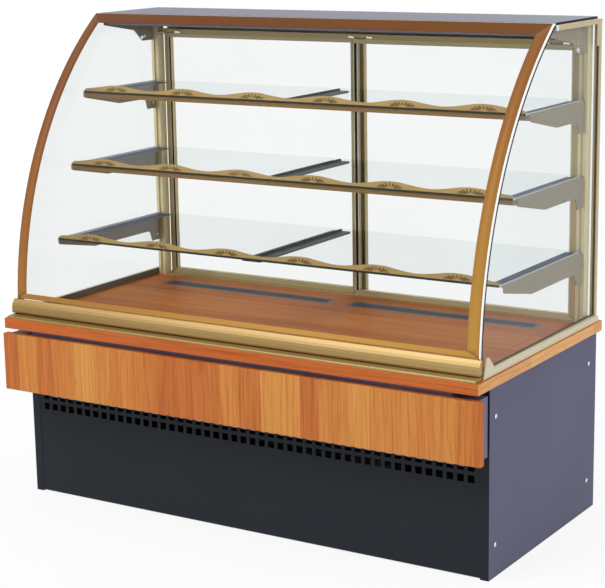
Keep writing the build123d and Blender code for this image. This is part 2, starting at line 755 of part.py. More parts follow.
def make_post(name, side):
    """Rear post with a slotted groove in its front face for the brackets."""
    middle = side * (post_inner + post_outer) / 2
    groove_depth = post_slot_depth
    with BuildPart() as post:
        block(side * post_inner, side * post_outer, post_y, post_y + post_depth, counter_top, roof_under)
        block(middle - post_slot_width / 2, middle + post_slot_width / 2, post_y, post_y + groove_depth,
              counter_top, roof_under, Mode.SUBTRACT)
    finish_node(name, post)


make_post("rear_post_left", -1)
make_post("rear_post_right", 1)

roof_mid = roof_under + roof_thick / 2
with BuildPart() as roof_panel:
    with BuildSketch(Plane.YZ.offset(-roof_width / 2)):
        with BuildLine():
            ThreePointArc((curve_at(roof_under, roof_edge_radius), roof_under),
                          (curve_at(roof_mid, roof_edge_radius), roof_mid),
                          (curve_at(case_top, roof_edge_radius), case_top))
            Polyline((curve_at(case_top, roof_edge_radius), case_top), (rear - roof_rear_setback, case_top),
                     (rear - roof_rear_setback, roof_under), (curve_at(roof_under, roof_edge_radius), roof_under))
        make_face()
    extrude(amount=roof_width)
finish_node("roof_panel", roof_panel)

# Lamp housing: channel open downwards under the front of the roof, and its tube
lamp_y0 = curve_at(roof_under, roof_edge_radius) + 5
lamp_y1 = lamp_y0 + lamp_depth
lamp_half = post_inner
with BuildPart() as lamp_housing:
    block(-lamp_half, lamp_half, lamp_y0, lamp_y1, roof_under - lamp_drop, roof_under)
    block(-lamp_half + sheet, lamp_half - sheet, lamp_y0 + sheet, lamp_y1 - sheet, roof_under - lamp_drop,
          roof_under - sheet, Mode.SUBTRACT)
finish_node("lamp_housing", lamp_housing)

with BuildPart() as lamp_tube:
    rod_x(-lamp_half + sheet, lamp_half - sheet, (lamp_y0 + lamp_y1) / 2, roof_under - lamp_drop / 2,
          lamp_tube_radius)
finish_node("lamp_tube", lamp_tube)

# Gusset plates between the posts and the roof
gusset_x = bracket_x + bracket_thick
gusset_low = 1256.0
with BuildPart() as roof_gussets:
    for side in (-1, 1):
        extrude_x([(lamp_y0, roof_under), (lamp_y0, roof_under - 30), (post_y - 92, roof_under - 54),
                   (post_y - 52, gusset_low), (post_y, gusset_low), (post_y, roof_under)],
                  side * (gusset_x - bracket_thick), side * gusset_x)
        block(side * (gusset_x - 18), side * gusset_x, lamp_y1 + 5, post_y, roof_under - bracket_thick, roof_under)
finish_node("roof_gussets", roof_gussets)


# Shelves

def bracket_outline(level_front, crown):
    """Side view of a cantilever bracket: thin tip, taper, straight belly and rear tab."""
    y0 = level_front + bracket_front
    y1 = post_y
    tab_y = y1 - bracket_tab_width
    return [(y0, crown), (y0 + 1, crown - bracket_tip + 5), (y0 + 6, crown - bracket_tip),
            (y0 + bracket_taper, crown - bracket_belly), (tab_y - 18, crown - bracket_belly),
            (tab_y - 8, crown - bracket_belly - 6), (tab_y, crown - bracket_tab), (y1, crown - bracket_tab),
            (y1, crown)]


with BuildPart() as shelf_brackets:
    for level, top_z, setback in shelf_levels:
        under = top_z - shelf_glass_thick
        for side in (-1, 1):
            extrude_x(bracket_outline(front + setback, under + bracket_lap),
                      side * (bracket_x - bracket_thick / 2), side * (bracket_x + bracket_thick / 2))
            block(side * (bracket_x - bracket_flange), side * bracket_x, front + setback + 16, post_y,
                  under - bracket_thick, under)
finish_node("shelf_brackets", shelf_brackets)

# Screws of the brackets and of the gussets, eight alike
with BuildPart() as fixing_screws:
    for side in (-1, 1):
        for level, top_z, setback in shelf_levels:
            inner = side * (bracket_x - bracket_thick / 2)
            screw_z = top_z - shelf_glass_thick + bracket_lap - bracket_tab + 18
            rod_x(inner - side * 3, inner, post_y - 14, screw_z, 4.5)
        inner = side * (gusset_x - bracket_thick)
        rod_x(inner - side * 3, inner, post_y - 44, gusset_low + 15, 4.5)
finish_node("fixing_screws", fixing_screws)


def wave_height(x):
    """Height of the trim above the glass at x: crests over the fans, valleys between them."""
    crest = trim_pitch / 2
    phase = (x - crest) / trim_pitch
    return trim_valley + (trim_peak - trim_valley) * (0.5 + 0.5 * cos(radians(360 * phase)))


def make_trim(name, top_z, setback):
    """Upright front trim of a shelf: wavy top edge and a fan of slots under each crest."""
    y0 = front + setback
    half = trim_waves * trim_pitch / 2
    steps = trim_waves * 4
    crest_points = [(-half + 6 + (2 * half - 12) * i / steps,
                     top_z + wave_height(-half + 6 + (2 * half - 12) * i / steps)) for i in range(steps + 1)]
    with BuildPart() as trim:
        with BuildSketch(Plane.XZ.offset(-y0)):
            with BuildLine():
                Line((-half, top_z), (half, top_z))
                Line((half, top_z), (half, top_z + trim_end))
                Line((half, top_z + trim_end), crest_points[-1])
                Spline(*crest_points)
                Line(crest_points[0], (-half, top_z + trim_end))
                Line((-half, top_z + trim_end), (-half, top_z))
            make_face()
            for wave in range(trim_waves):
                x = -half + trim_pitch * (wave + 0.5)
                for petal in range(fan_petals):
                    turn = radians(8 + 164 * petal / (fan_petals - 1))
                    dx = fan_width / 2 * cos(turn)
                    dz = fan_height * sin(turn)
                    wide = 0.9 + 0.7 * sin(turn)
                    length = sqrt(dx ** 2 + dz ** 2)
                    nx = -dz / length
                    nz = dx / length
                    base_z = top_z + fan_base
                    with BuildLine():
                        Polyline((x + 0.35 * dx - nx * wide * 0.6, base_z + 0.35 * dz - nz * wide * 0.6),
                                 (x + 0.9 * dx - nx * wide, base_z + 0.9 * dz - nz * wide),
                                 (x + dx, base_z + dz),
                                 (x + 0.9 * dx + nx * wide, base_z + 0.9 * dz + nz * wide),
                                 (x + 0.35 * dx + nx * wide * 0.6, base_z + 0.35 * dz + nz * wide * 0.6),
                                 close=True)
                    make_face(mode=Mode.SUBTRACT)
        extrude(amount=-trim_thick)
        block(-half, half, y0 + trim_thick, y0 + trim_hook, top_z, top_z + 1.2)
    finish_node(name, trim)


def make_shelf_glass(name, top_z, setback):
    """Two panes side by side."""
    y0 = front + setback
    y1 = front + shelf_rear_setback
    half = shelf_width / 2
    with BuildPart() as panes:
        for x0, x1 in ((-half, pane_joint_x - pane_gap / 2), (pane_joint_x + pane_gap / 2, half)):
            block(x0, x1, y0, y1, top_z - shelf_glass_thick, top_z)
    finish_node(name, panes)


for level, top_z, setback in shelf_levels:
    make_trim("shelf_trim_" + level, top_z, setback)
    make_shelf_glass("shelf_glass_" + level, top_z, setback)

# Brown profile under the front edge of the two upper levels
with BuildPart() as shelf_profiles:
    for level, top_z, setback in shelf_levels[1:]:
        under = top_z - shelf_glass_thick
        block(-shelf_width / 2, shelf_width / 2, front + setback + 2, front + setback + 2 + profile_depth,
              under - profile_height, under)
finish_node("shelf_profiles", shelf_profiles)

# Dark bars under the joint of the panes
with BuildPart() as shelf_centre_bars:
    for level, top_z, setback in shelf_levels:
        under = top_z - shelf_glass_thick
        block(pane_joint_x - bar_width / 2, pane_joint_x + bar_width / 2,
              front + setback + 2 + profile_depth + seat_gap, front + shelf_rear_setback, under - bar_thick, under)
finish_node("shelf_centre_bars", shelf_centre_bars)


# Rear sliding doors

track_y0 = right_door_y - door_depth / 2 - slide_gap - track_wall
track_y1 = left_door_y + door_depth / 2 + slide_gap + track_wall
track_mid = (right_door_y + left_door_y) / 2
with BuildPart() as upper_track:
    block(-post_inner, post_inner, track_y0, track_y1, track_lip_bottom, track_top)
    block(-post_inner, post_inner, track_y0 + track_wall, track_mid - track_wall / 2, track_lip_bottom,
          track_top - track_wall, Mode.SUBTRACT)
    block(-post_inner, post_inner, track_mid + track_wall / 2, track_y1 - track_wall, track_lip_bottom,
          track_top - track_wall, Mode.SUBTRACT)
    block(-post_inner, post_inner, track_y1 - track_wall, track_y1, track_top, roof_under)
finish_node("upper_track", upper_track)

with BuildPart() as lower_track:
    block(-post_inner, post_inner, track_y0, track_y1, counter_top, counter_top + lower_track_base)
    for y in (track_y0 + track_wall / 2, track_mid, track_y1 - track_wall / 2):
        block(-post_inner, post_inner, y - track_wall / 2, y + track_wall / 2, counter_top,
              counter_top + lower_track_lip)
finish_node("lower_track", lower_track)


def make_door(name, side, y):
    """Sliding door: frame, glass in its groove, pull strip on the outer stile and two glides under the frame."""
    x_far = side * door_half_span
    x_near = x_far - side * door_width
    y0 = y - door_depth / 2
    y1 = y + door_depth / 2
    bite = 8.0
    sight_low = door_bottom + door_low_rail
    sight_high = door_top - door_stile
    with BuildPart() as frame:
        block(x_near, x_far, y0, y1, door_bottom, door_top)
        block(x_near + side * door_stile, x_far - side * door_stile, y0, y1, sight_low, sight_high, Mode.SUBTRACT)
        block(x_near + side * (door_stile - bite), x_far - side * (door_stile - bite),
              y - door_glass_thick / 2 - seat_gap, y + door_glass_thick / 2 + seat_gap, sight_low - bite,
              sight_high + bite, Mode.SUBTRACT)
    finish_node(name + "_door_frame", frame)
    inset = door_stile - bite + seat_gap
    with BuildPart() as pane:
        block(x_near + side * inset, x_far - side * inset, y - door_glass_thick / 2, y + door_glass_thick / 2,
              sight_low - bite + seat_gap, sight_high + bite - seat_gap)
    finish_node(name + "_door_glass", pane)
    pull_x1 = x_far - side * (door_stile - pull_width) / 2
    pull_x0 = pull_x1 - side * pull_width
    with BuildPart() as pull:
        block(pull_x0, pull_x1, y1, y1 + pull_depth, pull_bottom, pull_top)
        with Locations((pull_x0, y1 + pull_depth / 2, (pull_top + pull_bottom) / 2 - 105)):
            Box(pull_width, 2 * pull_depth, 135, mode=Mode.SUBTRACT)
    finish_node(name + "_door_pull", pull)
    glide_low = counter_top + lower_track_base + seat_gap
    with BuildPart() as glides:
        for end in (x_near + side * 60, x_far - side * 60):
            block(end - glide_length / 2, end + glide_length / 2, y - glide_width / 2, y + glide_width / 2,
                  glide_low, door_bottom)
    finish_node(name + "_door_glides", glides)


make_door("left", -1, left_door_y)
make_door("right", 1, right_door_y)

# Spring clips on the front of the upper track: two pads joined by a bent wire
clip_pitch = 60.0
with BuildPart() as track_clips:
    for x in (-645, 20, 619):
        for end in (-1, 1):
            block(x + end * clip_pitch / 2 - 9, x + end * clip_pitch / 2 + 9, track_y0 - 2.5, track_y0,
                  track_lip_bottom - 2, track_top)
        block(x - clip_pitch / 2, x + clip_pitch / 2, track_y0 - 2.5, track_y0, track_top - 8, track_top - 5)
finish_node("track_clips", track_clips)
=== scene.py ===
# %% [markdown]
# # A pastry display case
# A dark steel base carries a wooden counter, and on it stands a tall glass box with a curved front.
# The CAD parts give every size. This script gives them their finishes, and remakes the pieces whose
# look depends on smooth curves or fine edges: the bent glass, its metal border, the door frames and
# the spring clips. All lengths are in metres.

# %% Load the frame
import bpy
import bmesh
import math
from mathutils import Matrix, Vector


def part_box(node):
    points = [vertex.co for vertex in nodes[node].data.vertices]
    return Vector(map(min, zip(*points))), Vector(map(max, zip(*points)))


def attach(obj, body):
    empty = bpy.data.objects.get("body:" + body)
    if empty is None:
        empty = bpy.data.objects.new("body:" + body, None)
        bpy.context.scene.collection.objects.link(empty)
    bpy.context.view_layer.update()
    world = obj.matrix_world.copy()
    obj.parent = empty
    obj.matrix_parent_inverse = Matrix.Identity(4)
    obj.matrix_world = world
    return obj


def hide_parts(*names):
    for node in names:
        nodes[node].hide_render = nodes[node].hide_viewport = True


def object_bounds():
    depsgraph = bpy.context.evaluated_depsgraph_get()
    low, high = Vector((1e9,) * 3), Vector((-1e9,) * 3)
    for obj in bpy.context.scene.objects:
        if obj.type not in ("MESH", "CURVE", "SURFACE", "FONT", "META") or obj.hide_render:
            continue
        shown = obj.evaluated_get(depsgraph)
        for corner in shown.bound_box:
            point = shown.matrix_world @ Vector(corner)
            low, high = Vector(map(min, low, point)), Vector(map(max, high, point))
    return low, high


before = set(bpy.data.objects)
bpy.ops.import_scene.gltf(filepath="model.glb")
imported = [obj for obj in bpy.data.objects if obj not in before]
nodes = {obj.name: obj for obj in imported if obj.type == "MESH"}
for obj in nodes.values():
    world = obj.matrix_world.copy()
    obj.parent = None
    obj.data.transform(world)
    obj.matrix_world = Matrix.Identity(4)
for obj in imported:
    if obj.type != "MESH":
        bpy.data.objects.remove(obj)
cad_low, cad_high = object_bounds()
print("CAD box", [round(v, 4) for v in cad_low], [round(v, 4) for v in cad_high])

# %% [markdown]
# ## Camera
# The photograph was taken from the right of the front, a little above the glass box, with a long
# lens. A fixed place and three turns describe that view, and a lens of about 105 mm keeps the edges
# nearly parallel. A camera looks along its own -Z, so its axes are put together from those turns.

# %% Camera
cam_yaw, cam_pitch, cam_roll = 0.56164, 0.21798, -0.01692
cam_place = Vector((2.54575, -4.02385, 1.65445))
lens_mm, sensor_mm = 105.2, 36
near_clip, far_clip = 0.1, 60
forward = Vector((-math.sin(cam_yaw) * math.cos(cam_pitch), math.cos(cam_yaw) * math.cos(cam_pitch),
                  -math.sin(cam_pitch)))
right = Vector((math.cos(cam_yaw), math.sin(cam_yaw), 0))
up = right.cross(forward)
right_turned = math.cos(cam_roll) * right + math.sin(cam_roll) * up
up_turned = math.cos(cam_roll) * up - math.sin(cam_roll) * right
camera_data = bpy.data.cameras.new("camera")
camera_data.lens = lens_mm
camera_data.sensor_width = sensor_mm
camera_data.clip_start, camera_data.clip_end = near_clip, far_clip
camera = bpy.data.objects.new("camera", camera_data)
bpy.context.scene.collection.objects.link(camera)
turn = Matrix((right_turned, up_turned, -forward)).transposed().to_4x4()
camera.matrix_world = Matrix.Translation(cam_place) @ turn
bpy.context.scene.camera = camera
print("camera distance to the case", round((cam_place - Vector((0, 0, 0.7))).length, 2), "m")

# %% [markdown]
# ## Helpers for materials
# Each finish is one Principled shader fed by a few procedural textures. All textures read Object
# coordinates, so a pattern has its real size in metres on every piece. Each helper adds one step to
# a node tree and returns the socket that the next step reads.

# %% Colours and coordinates


def rgb(red, green, blue):
    """A colour as the eye reads it on a screen, 0 to 255, turned into light values."""
    return tuple((c / 255 / 12.92) if c <= 10 else ((c / 255 + 0.055) / 1.055) ** 2.4
                 for c in (red, green, blue))


def scaled(colour, factor):
    """A lighter or darker version of a colour."""
    return tuple(min(1.0, c * factor) for c in colour)


def new_finish(name, colour, roughness, metallic=0.0, specular=0.2):
    """A material with its node tree and its Principled shader."""
    material = bpy.data.materials.new(name)
    material.use_nodes = True
    tree = material.node_tree
    shader = tree.nodes["Principled BSDF"]
    shader.inputs["Base Color"].default_value = (*colour, 1)
    shader.inputs["Roughness"].default_value = roughness
    shader.inputs["Metallic"].default_value = metallic
    shader.inputs["Specular IOR Level"].default_value = specular
    return material, tree, shader


def coordinates(tree, scale=(1, 1, 1)):
    """Object coordinates, stretched where a texture has to become grain or brushing."""
    where = tree.nodes.new("ShaderNodeTexCoord")
    mapping = tree.nodes.new("ShaderNodeMapping")
    mapping.inputs["Scale"].default_value = scale
    tree.links.new(where.outputs["Object"], mapping.inputs["Vector"])
    return mapping.outputs["Vector"]


def along_axis(axis, along, across):
    """Texture scales along one axis ("x", "y" or "z") and across it."""
    return tuple(along if letter == axis else across for letter in "xyz")


def position_parts(tree):
    """The X, Y and Z of a point, each as its own socket."""
    parts = tree.nodes.new("ShaderNodeSeparateXYZ")
    tree.links.new(coordinates(tree), parts.inputs["Vector"])
    return parts.outputs


print("colour helpers ready, mid grey is", round(rgb(128, 128, 128)[0], 3))

# %% [markdown]
# ## Helpers for textures
# A noise gives the unevenness, a ramp turns it into colour, and small sums blend several noises. The
# same value then drives roughness and bump, so that the three agree as on a real surface.

# %% Texture helpers


def noise(tree, vector, scale, detail=3.0, roughness=0.5, distortion=0.0):
    """A noise texture's value."""
    texture = tree.nodes.new("ShaderNodeTexNoise")
    texture.inputs["Scale"].default_value = scale
    texture.inputs["Detail"].default_value = detail
    texture.inputs["Roughness"].default_value = roughness
    texture.inputs["Distortion"].default_value = distortion
    tree.links.new(vector, texture.inputs["Vector"])
    return texture.outputs["Fac"]


def ramp(tree, value, stops):
    """A colour ramp with the given (place, colour) stops."""
    node = tree.nodes.new("ShaderNodeValToRGB")
    elements = node.color_ramp.elements
    while len(elements) < len(stops):
        elements.new(0.5)
    for element, (place, colour) in zip(elements, stops):
        element.position = place
        element.color = (*colour, 1)
    tree.links.new(value, node.inputs["Fac"])
    return node.outputs["Color"]


def math_node(tree, operation, a, b):
    """One arithmetic step. a and b are sockets or numbers."""
    node = tree.nodes.new("ShaderNodeMath")
    node.operation = operation
    for i, item in enumerate((a, b)):
        if hasattr(item, "links"):
            tree.links.new(item, node.inputs[i])
        else:
            node.inputs[i].default_value = item
    return node.outputs["Value"]


def weighted(tree, first, first_share, second, second_share):
    """The sum of two sockets, each times its own share."""
    return math_node(tree, "ADD", math_node(tree, "MULTIPLY", first, first_share),
                     math_node(tree, "MULTIPLY", second, second_share))


def multiply_colours(tree, share, ground, tint):
    """A colour multiplied by another, by the given share."""
    node = tree.nodes.new("ShaderNodeMix")
    node.data_type = "RGBA"
    node.blend_type = "MULTIPLY"
    factor, colour_a, colour_b = node.inputs[0], node.inputs[6], node.inputs[7]
    factor.default_value = share
    tree.links.new(ground, colour_a)
    tree.links.new(tint, colour_b)
    return node.outputs[2]


def colour_between(tree, shader, value, dark, light):
    """Base colour that follows a texture from a dark to a light tone."""
    tree.links.new(ramp(tree, value, [(0.3, dark), (0.7, light)]), shader.inputs["Base Color"])


def add_bump(tree, shader, height, strength, distance):
    """Small relief from a texture's value."""
    bump = tree.nodes.new("ShaderNodeBump")
    bump.inputs["Strength"].default_value = strength
    bump.inputs["Distance"].default_value = distance
    tree.links.new(height, bump.inputs["Height"])
    tree.links.new(bump.outputs["Normal"], shader.inputs["Normal"])


def roughness_between(tree, shader, value, low, high):
    """Roughness that follows a texture between two limits."""
    node = tree.nodes.new("ShaderNodeMapRange")
    node.inputs["To Min"].default_value = low
    node.inputs["To Max"].default_value = high
    tree.links.new(value, node.inputs["Value"])
    tree.links.new(node.outputs["Result"], shader.inputs["Roughness"])


print("texture helpers ready")

# %% [markdown]
# ## Helpers for the CAD nodes
# A CAD node keeps its mesh and its place. It only gets materials, a choice of material for some of
# its faces, and where its edges are bare, a bevel modifier that rounds them by a fraction of a
# millimetre, as no folded or sawn edge is perfectly sharp.

# %% Node helpers


def paint(node_name, *materials):
    """Give a CAD node its finish, or several finishes to choose from."""
    slots = nodes[node_name].data.materials
    slots.clear()
    for material in materials:
        slots.append(material)


def paint_all(names, *materials):
    """Give several CAD nodes the same finish."""
    for name in names:
        paint(name, *materials)


def soften(*names, width):
    """A small rounding on the sharp edges of CAD nodes, so that they catch a line of light."""
    for name in names:
        weld = nodes[name].modifiers.new("weld", "WELD")
        weld.merge_threshold = 0.00002
        bevel = nodes[name].modifiers.new("edge", "BEVEL")
        bevel.width = width
        bevel.segments = 2
        bevel.limit_method = "ANGLE"
        bevel.angle_limit = math.radians(40)


def choose_faces(node_name, index, test):
    """Give one of a node's finishes to the faces whose middle and normal pass a test."""
    for polygon in nodes[node_name].data.polygons:
        if test(polygon.center, polygon.normal):
            polygon.material_index = index


print("nodes to finish", len(nodes))

# %% [markdown]
# ## Wood veneer
# The fascia shows staves of veneer set side by side with the grain upright, each a little lighter or
# redder than its neighbour. The counter and the deck are the same wood with the grain along the
# case. A Voronoi texture of one dimension gives the staves. A stretched wave with distortion gives
# the dark growth lines and their arches, stretched noise the streaks, and a finer noise the pores.

# %% Veneer


def veneer(name, along, stave, pale, middle, deep, specular=0.12):
    """Wood with the grain along one axis, in staves of the given width."""
    gloss = 0.5
    material, tree, shader = new_finish(name, middle, gloss, 0.0, specular)
    upright = along == "z"
    staves = tree.nodes.new("ShaderNodeTexVoronoi")
    staves.voronoi_dimensions = "1D"
    staves.inputs["Scale"].default_value = 1 / stave
    staves.inputs["Randomness"].default_value = 0.8
    tree.links.new(position_parts(tree)["X" if upright else "Y"], staves.inputs["W"])
    tone = tree.nodes.new("ShaderNodeSeparateColor")
    tree.links.new(staves.outputs["Color"], tone.inputs["Color"])
    streaks = noise(tree, coordinates(tree, along_axis(along, 1.2, 34.0)), 2.0, 4.0, 0.6, 0.4)
    figure = weighted(tree, tone.outputs["Red"], 0.55, streaks, 0.75)
    figure = math_node(tree, "SUBTRACT", figure, 0.16)
    colour = ramp(tree, figure, [(0.14, deep), (0.46, middle), (0.84, pale)])
    rings = tree.nodes.new("ShaderNodeTexWave")
    rings.wave_type = "BANDS"
    rings.bands_direction = "X" if upright else "Z"
    for socket, value in (("Scale", 17.0), ("Distortion", 11.0), ("Detail", 3.0), ("Detail Scale", 1.6)):
        rings.inputs[socket].default_value = value
    tree.links.new(coordinates(tree, along_axis(along, 0.10, 1.0)), rings.inputs["Vector"])
    ring_tone = ramp(tree, rings.outputs["Fac"],
                     [(0.02, (0.70, 0.60, 0.50)), (0.16, (0.94, 0.91, 0.88)), (0.55, (1.0, 1.0, 1.0))])
    colour = multiply_colours(tree, 0.36, colour, ring_tone)
    pores = noise(tree, coordinates(tree, along_axis(along, 9.0, 420.0)), 1.0, 4.0, 0.65, 0.1)
    pore_tone = ramp(tree, pores,
                     [(0.36, (0.66, 0.58, 0.50)), (0.47, (0.97, 0.96, 0.95)), (0.66, (1.06, 1.06, 1.05))])
    colour = multiply_colours(tree, 0.6, colour, pore_tone)
    tree.links.new(colour, shader.inputs["Base Color"])
    roughness_between(tree, shader, pores, gloss - 0.06, gloss + 0.10)
    add_bump(tree, shader, pores, 0.15, 0.0004)
    return material


fascia_wood = veneer("fascia_veneer", "z", 0.062, rgb(214, 152, 78), rgb(200, 124, 62), rgb(184, 100, 50))
edge_wood = veneer("counter_veneer", "x", 0.4, rgb(208, 122, 60), rgb(198, 108, 52), rgb(182, 92, 44))
end_wood = veneer("counter_end_veneer", "y", 0.4,
                  rgb(230, 178, 122), rgb(220, 164, 108), rgb(204, 144, 88))
deck_wood = veneer("deck_veneer", "x", 0.16, rgb(200, 128, 62), rgb(182, 108, 50), rgb(158, 88, 40), 0.08)
paint("fascia_board", fascia_wood)
paint("counter_board", edge_wood, end_wood, deck_wood)
choose_faces("counter_board", 1, lambda centre, normal: abs(normal.x) > 0.7)
choose_faces("counter_board", 2, lambda centre, normal: normal.z > 0.7)
paint("deck_board", deck_wood)
soften("counter_board", width=0.0008)
print("veneers:", fascia_wood.name, edge_wood.name, end_wood.name, deck_wood.name)

# %% [markdown]
# ## Painted steel
# The base is sheet steel with a fine grained powder coat. A displaced surface would cost far more
# faces than it shows from here, so a fine noise drives a little bump and breaks up the gloss.

# %% Painted steel


def powder_coat(name, colour, gloss, fleck):
    """Fine grained paint on sheet metal. fleck is how far the tone moves either way."""
    material, tree, shader = new_finish(name, colour, gloss, 0.0, 0.12)
    grain = noise(tree, coordinates(tree), 900.0, 2.0, 0.6)
    cloud = noise(tree, coordinates(tree), 3.0, 2.0, 0.5)
    tone = weighted(tree, grain, 0.7, cloud, 0.3)
    colour_between(tree, shader, tone, scaled(colour, 1 - fleck), scaled(colour, 1 + fleck))
    roughness_between(tree, shader, grain, gloss - 0.06, gloss + 0.10)
    add_bump(tree, shader, grain, 0.15, 0.0003)
    return material


side_paint = powder_coat("side_panel_paint", rgb(88, 88, 112), 0.45, 0.16)
front_paint = powder_coat("front_panel_paint", rgb(36, 40, 45), 0.42, 0.10)
carrier_paint = powder_coat("carrier_paint", rgb(104, 100, 128), 0.40, 0.10)
black_paint = powder_coat("inner_black_paint", rgb(22, 22, 26), 0.5, 0.05)
roof_paint = powder_coat("roof_paint", rgb(84, 88, 106), 0.34, 0.08)
grille_paint = powder_coat("grille_paint", rgb(84, 90, 98), 0.45, 0.14)
bar_paint = powder_coat("bar_paint", rgb(52, 60, 66), 0.35, 0.08)
# Painted shade and painted reflection: the dark blue-grey of the bracket flanges under the glass.
flange_painted_shade = powder_coat("flange_painted_shade", rgb(78, 76, 104), 0.55, 0.10)
lamp_paint = powder_coat("lamp_housing_paint", rgb(150, 155, 178), 0.4, 0.06)
for name in ("side_panel_left", "side_panel_right"):
    paint(name, side_paint, front_paint)
    choose_faces(name, 1, lambda centre, normal: normal.y < -0.7)
paint_all(("front_panel", "control_box"), front_paint)
paint("rear_panel", side_paint)
paint("fascia_carrier", carrier_paint)
paint("roof_panel", roof_paint, black_paint)
choose_faces("roof_panel", 1, lambda centre, normal: abs(normal.x) > 0.9)
paint("deck_air_grilles", grille_paint)
paint("shelf_centre_bars", bar_paint)
paint("lamp_housing", lamp_paint)
print("paints", len([m for m in bpy.data.materials if "paint" in m.name]))

# %% [markdown]
# ## Speckled bracket enamel
# The shelf brackets and the roof gussets carry a grey-beige enamel with dark specks of about a
# millimetre. Two noises of different size make the specks uneven, which one noise would not.

# %% Bracket enamel
speck_scale = 400.0
enamel_ground, enamel_speck = rgb(156, 144, 124), rgb(104, 92, 76)
bracket_web_x = 0.7025

bracket_enamel, tree, shader = new_finish("bracket_enamel", enamel_ground, 0.45)
specks = noise(tree, coordinates(tree), speck_scale, 3.0, 0.7)
wide = noise(tree, coordinates(tree), speck_scale / 3, 2.0, 0.6)
tree.links.new(ramp(tree, weighted(tree, specks, 0.85, wide, 0.15),
                    [(0.40, enamel_speck), (0.50, enamel_ground), (0.62, scaled(enamel_ground, 1.35))]),
               shader.inputs["Base Color"])
add_bump(tree, shader, specks, 0.2, 0.0004)
# The level faces of the bracket flanges take a dark blue-grey that is painted shade and painted
# reflection.
paint("shelf_brackets", bracket_enamel, flange_painted_shade)
choose_faces("shelf_brackets", 1,
             lambda centre, normal: abs(normal.z) > 0.9 and abs(centre.x) < bracket_web_x)
paint("roof_gussets", bracket_enamel)
soften("shelf_brackets", "roof_gussets", width=0.0004)
print("enamel specks about", round(1000 / speck_scale, 1), "mm apart")

# %% [markdown]
# ## Anodised aluminium
# Champagne gold on the moulding, darker bronze round the glass, pale beige on the rails and door
# frames. Anodised extrusions keep a faint drawing texture along their length, so the noise is
# stretched that way.

# %% Anodised aluminium


def anodised(name, colour, along, roughness, metallic, grain=0.10):
    """Satin metal with fine drawn lines along one axis."""
    material, tree, shader = new_finish(name, colour, roughness, metallic, 0.25)
    lines = noise(tree, coordinates(tree, along_axis(along, 3, 500)), 1.0, 2.0, 0.5)
    mottle = noise(tree, coordinates(tree), 260.0, 2.0, 0.6)
    tone = weighted(tree, lines, 0.5, mottle, 0.5)
    colour_between(tree, shader, tone, scaled(colour, 1 - grain), scaled(colour, 1 + grain))
    roughness_between(tree, shader, tone, roughness - 0.05, roughness + 0.08)
    add_bump(tree, shader, lines, 0.06, 0.0002)
    return material


shelf_trims = ("shelf_trim_top", "shelf_trim_middle", "shelf_trim_bottom")
trim_gold = anodised("shelf_trim_gold", rgb(180, 150, 96), "x", 0.45, 0.3, 0.16)
profile_brown = anodised("profile_brown", rgb(134, 104, 64), "x", 0.45, 0.3)
frame_beige = anodised("frame_beige", rgb(190, 172, 136), "z", 0.42, 0.3)
post_beige = anodised("post_beige", rgb(232, 218, 176), "z", 0.42, 0.3)
track_beige = anodised("track_beige", rgb(190, 172, 130), "x", 0.42, 0.3)
paint_all(shelf_trims, trim_gold)
paint("shelf_profiles", profile_brown)
paint_all(("side_frame_left", "side_frame_right"), frame_beige)
paint_all(("rear_post_left", "rear_post_right"), post_beige)
paint_all(("upper_track", "lower_track"), track_beige)
print("anodised finishes ready")

# %% [markdown]
# ## Gold moulding and side rails
# The long moulding under the front glass turns from bronze on the left to pale gold on the right,
# where it faces the light. That turn is a painted highlight: a slow blend along X is multiplied into
# its colour, with a little noise in it for tone at random. The side rails are beige outside and brown
# inside, with a black seal in the groove that holds the glass. Their faces are told apart by the way
# they look and by their place.

# %% Moulding and rails
moulding_gold = anodised("moulding_gold", rgb(160, 134, 84), "x", 0.36, 0.4, 0.16)
tree = moulding_gold.node_tree
shader = tree.nodes["Principled BSDF"]
slow = noise(tree, coordinates(tree), 3.0, 2.0, 0.5)
# Painted highlight: the colour grows lighter towards +X, where the moulding faces the light.
painted_light_blend = math_node(tree, "ADD", math_node(tree, "MULTIPLY", position_parts(tree)["X"], 0.5),
                  math_node(tree, "ADD", math_node(tree, "MULTIPLY", slow, 0.2), 0.4))
painted_highlight_tone = ramp(tree, painted_light_blend, [(0.05, (0.84, 0.76, 0.66)), (0.95, (1.20, 1.22, 1.24))])
grain_colour = shader.inputs["Base Color"].links[0].from_socket
tree.links.new(multiply_colours(tree, 1.0, grain_colour, painted_highlight_tone), shader.inputs["Base Color"])
paint_all(("front_moulding", "front_base_rail"), moulding_gold)

rail_beige = anodised("rail_beige", rgb(206, 196, 166), "y", 0.45, 0.2)
rail_inner = anodised("rail_inner_brown", rgb(106, 92, 76), "y", 0.5, 0.1)
seal_black = powder_coat("seal_black", rgb(18, 18, 20), 0.6, 0.1)
seal_outer_x, seal_front_y = 0.7255, -0.31


def faces_inward(centre, normal):
    """True for a face that looks towards the middle of the case."""
    return centre.x * normal.x < -0.5 * abs(centre.x)


def is_seal(centre, normal):
    """True for the level faces in the groove of a side rail."""
    return normal.z > 0.7 and abs(centre.x) < seal_outer_x and centre.y > seal_front_y


for name in ("side_rail_left", "side_rail_right"):
    paint(name, rail_beige, rail_inner, seal_black)
    choose_faces(name, 1, faces_inward)
    choose_faces(name, 2, is_seal)
print("moulding and rails ready")

# %% [markdown]
# ## Small finishes
# Rubber, white and black plastic, chrome, bare steel and foam for what is small or hidden. One
# helper makes them all, as they differ only in colour, gloss and the size of their unevenness.

# %% Small finishes


def plain_textured(name, colour, roughness, metallic=0.0, size=300.0, spread=0.08):
    """A moulded or bare surface with slight unevenness."""
    material, tree, shader = new_finish(name, colour, roughness, metallic)
    value = noise(tree, coordinates(tree), size, 3.0, 0.6)
    colour_between(tree, shader, value, scaled(colour, 1 - spread), colour)
    roughness_between(tree, shader, value, max(0.02, roughness - 0.05), roughness + 0.08)
    return material


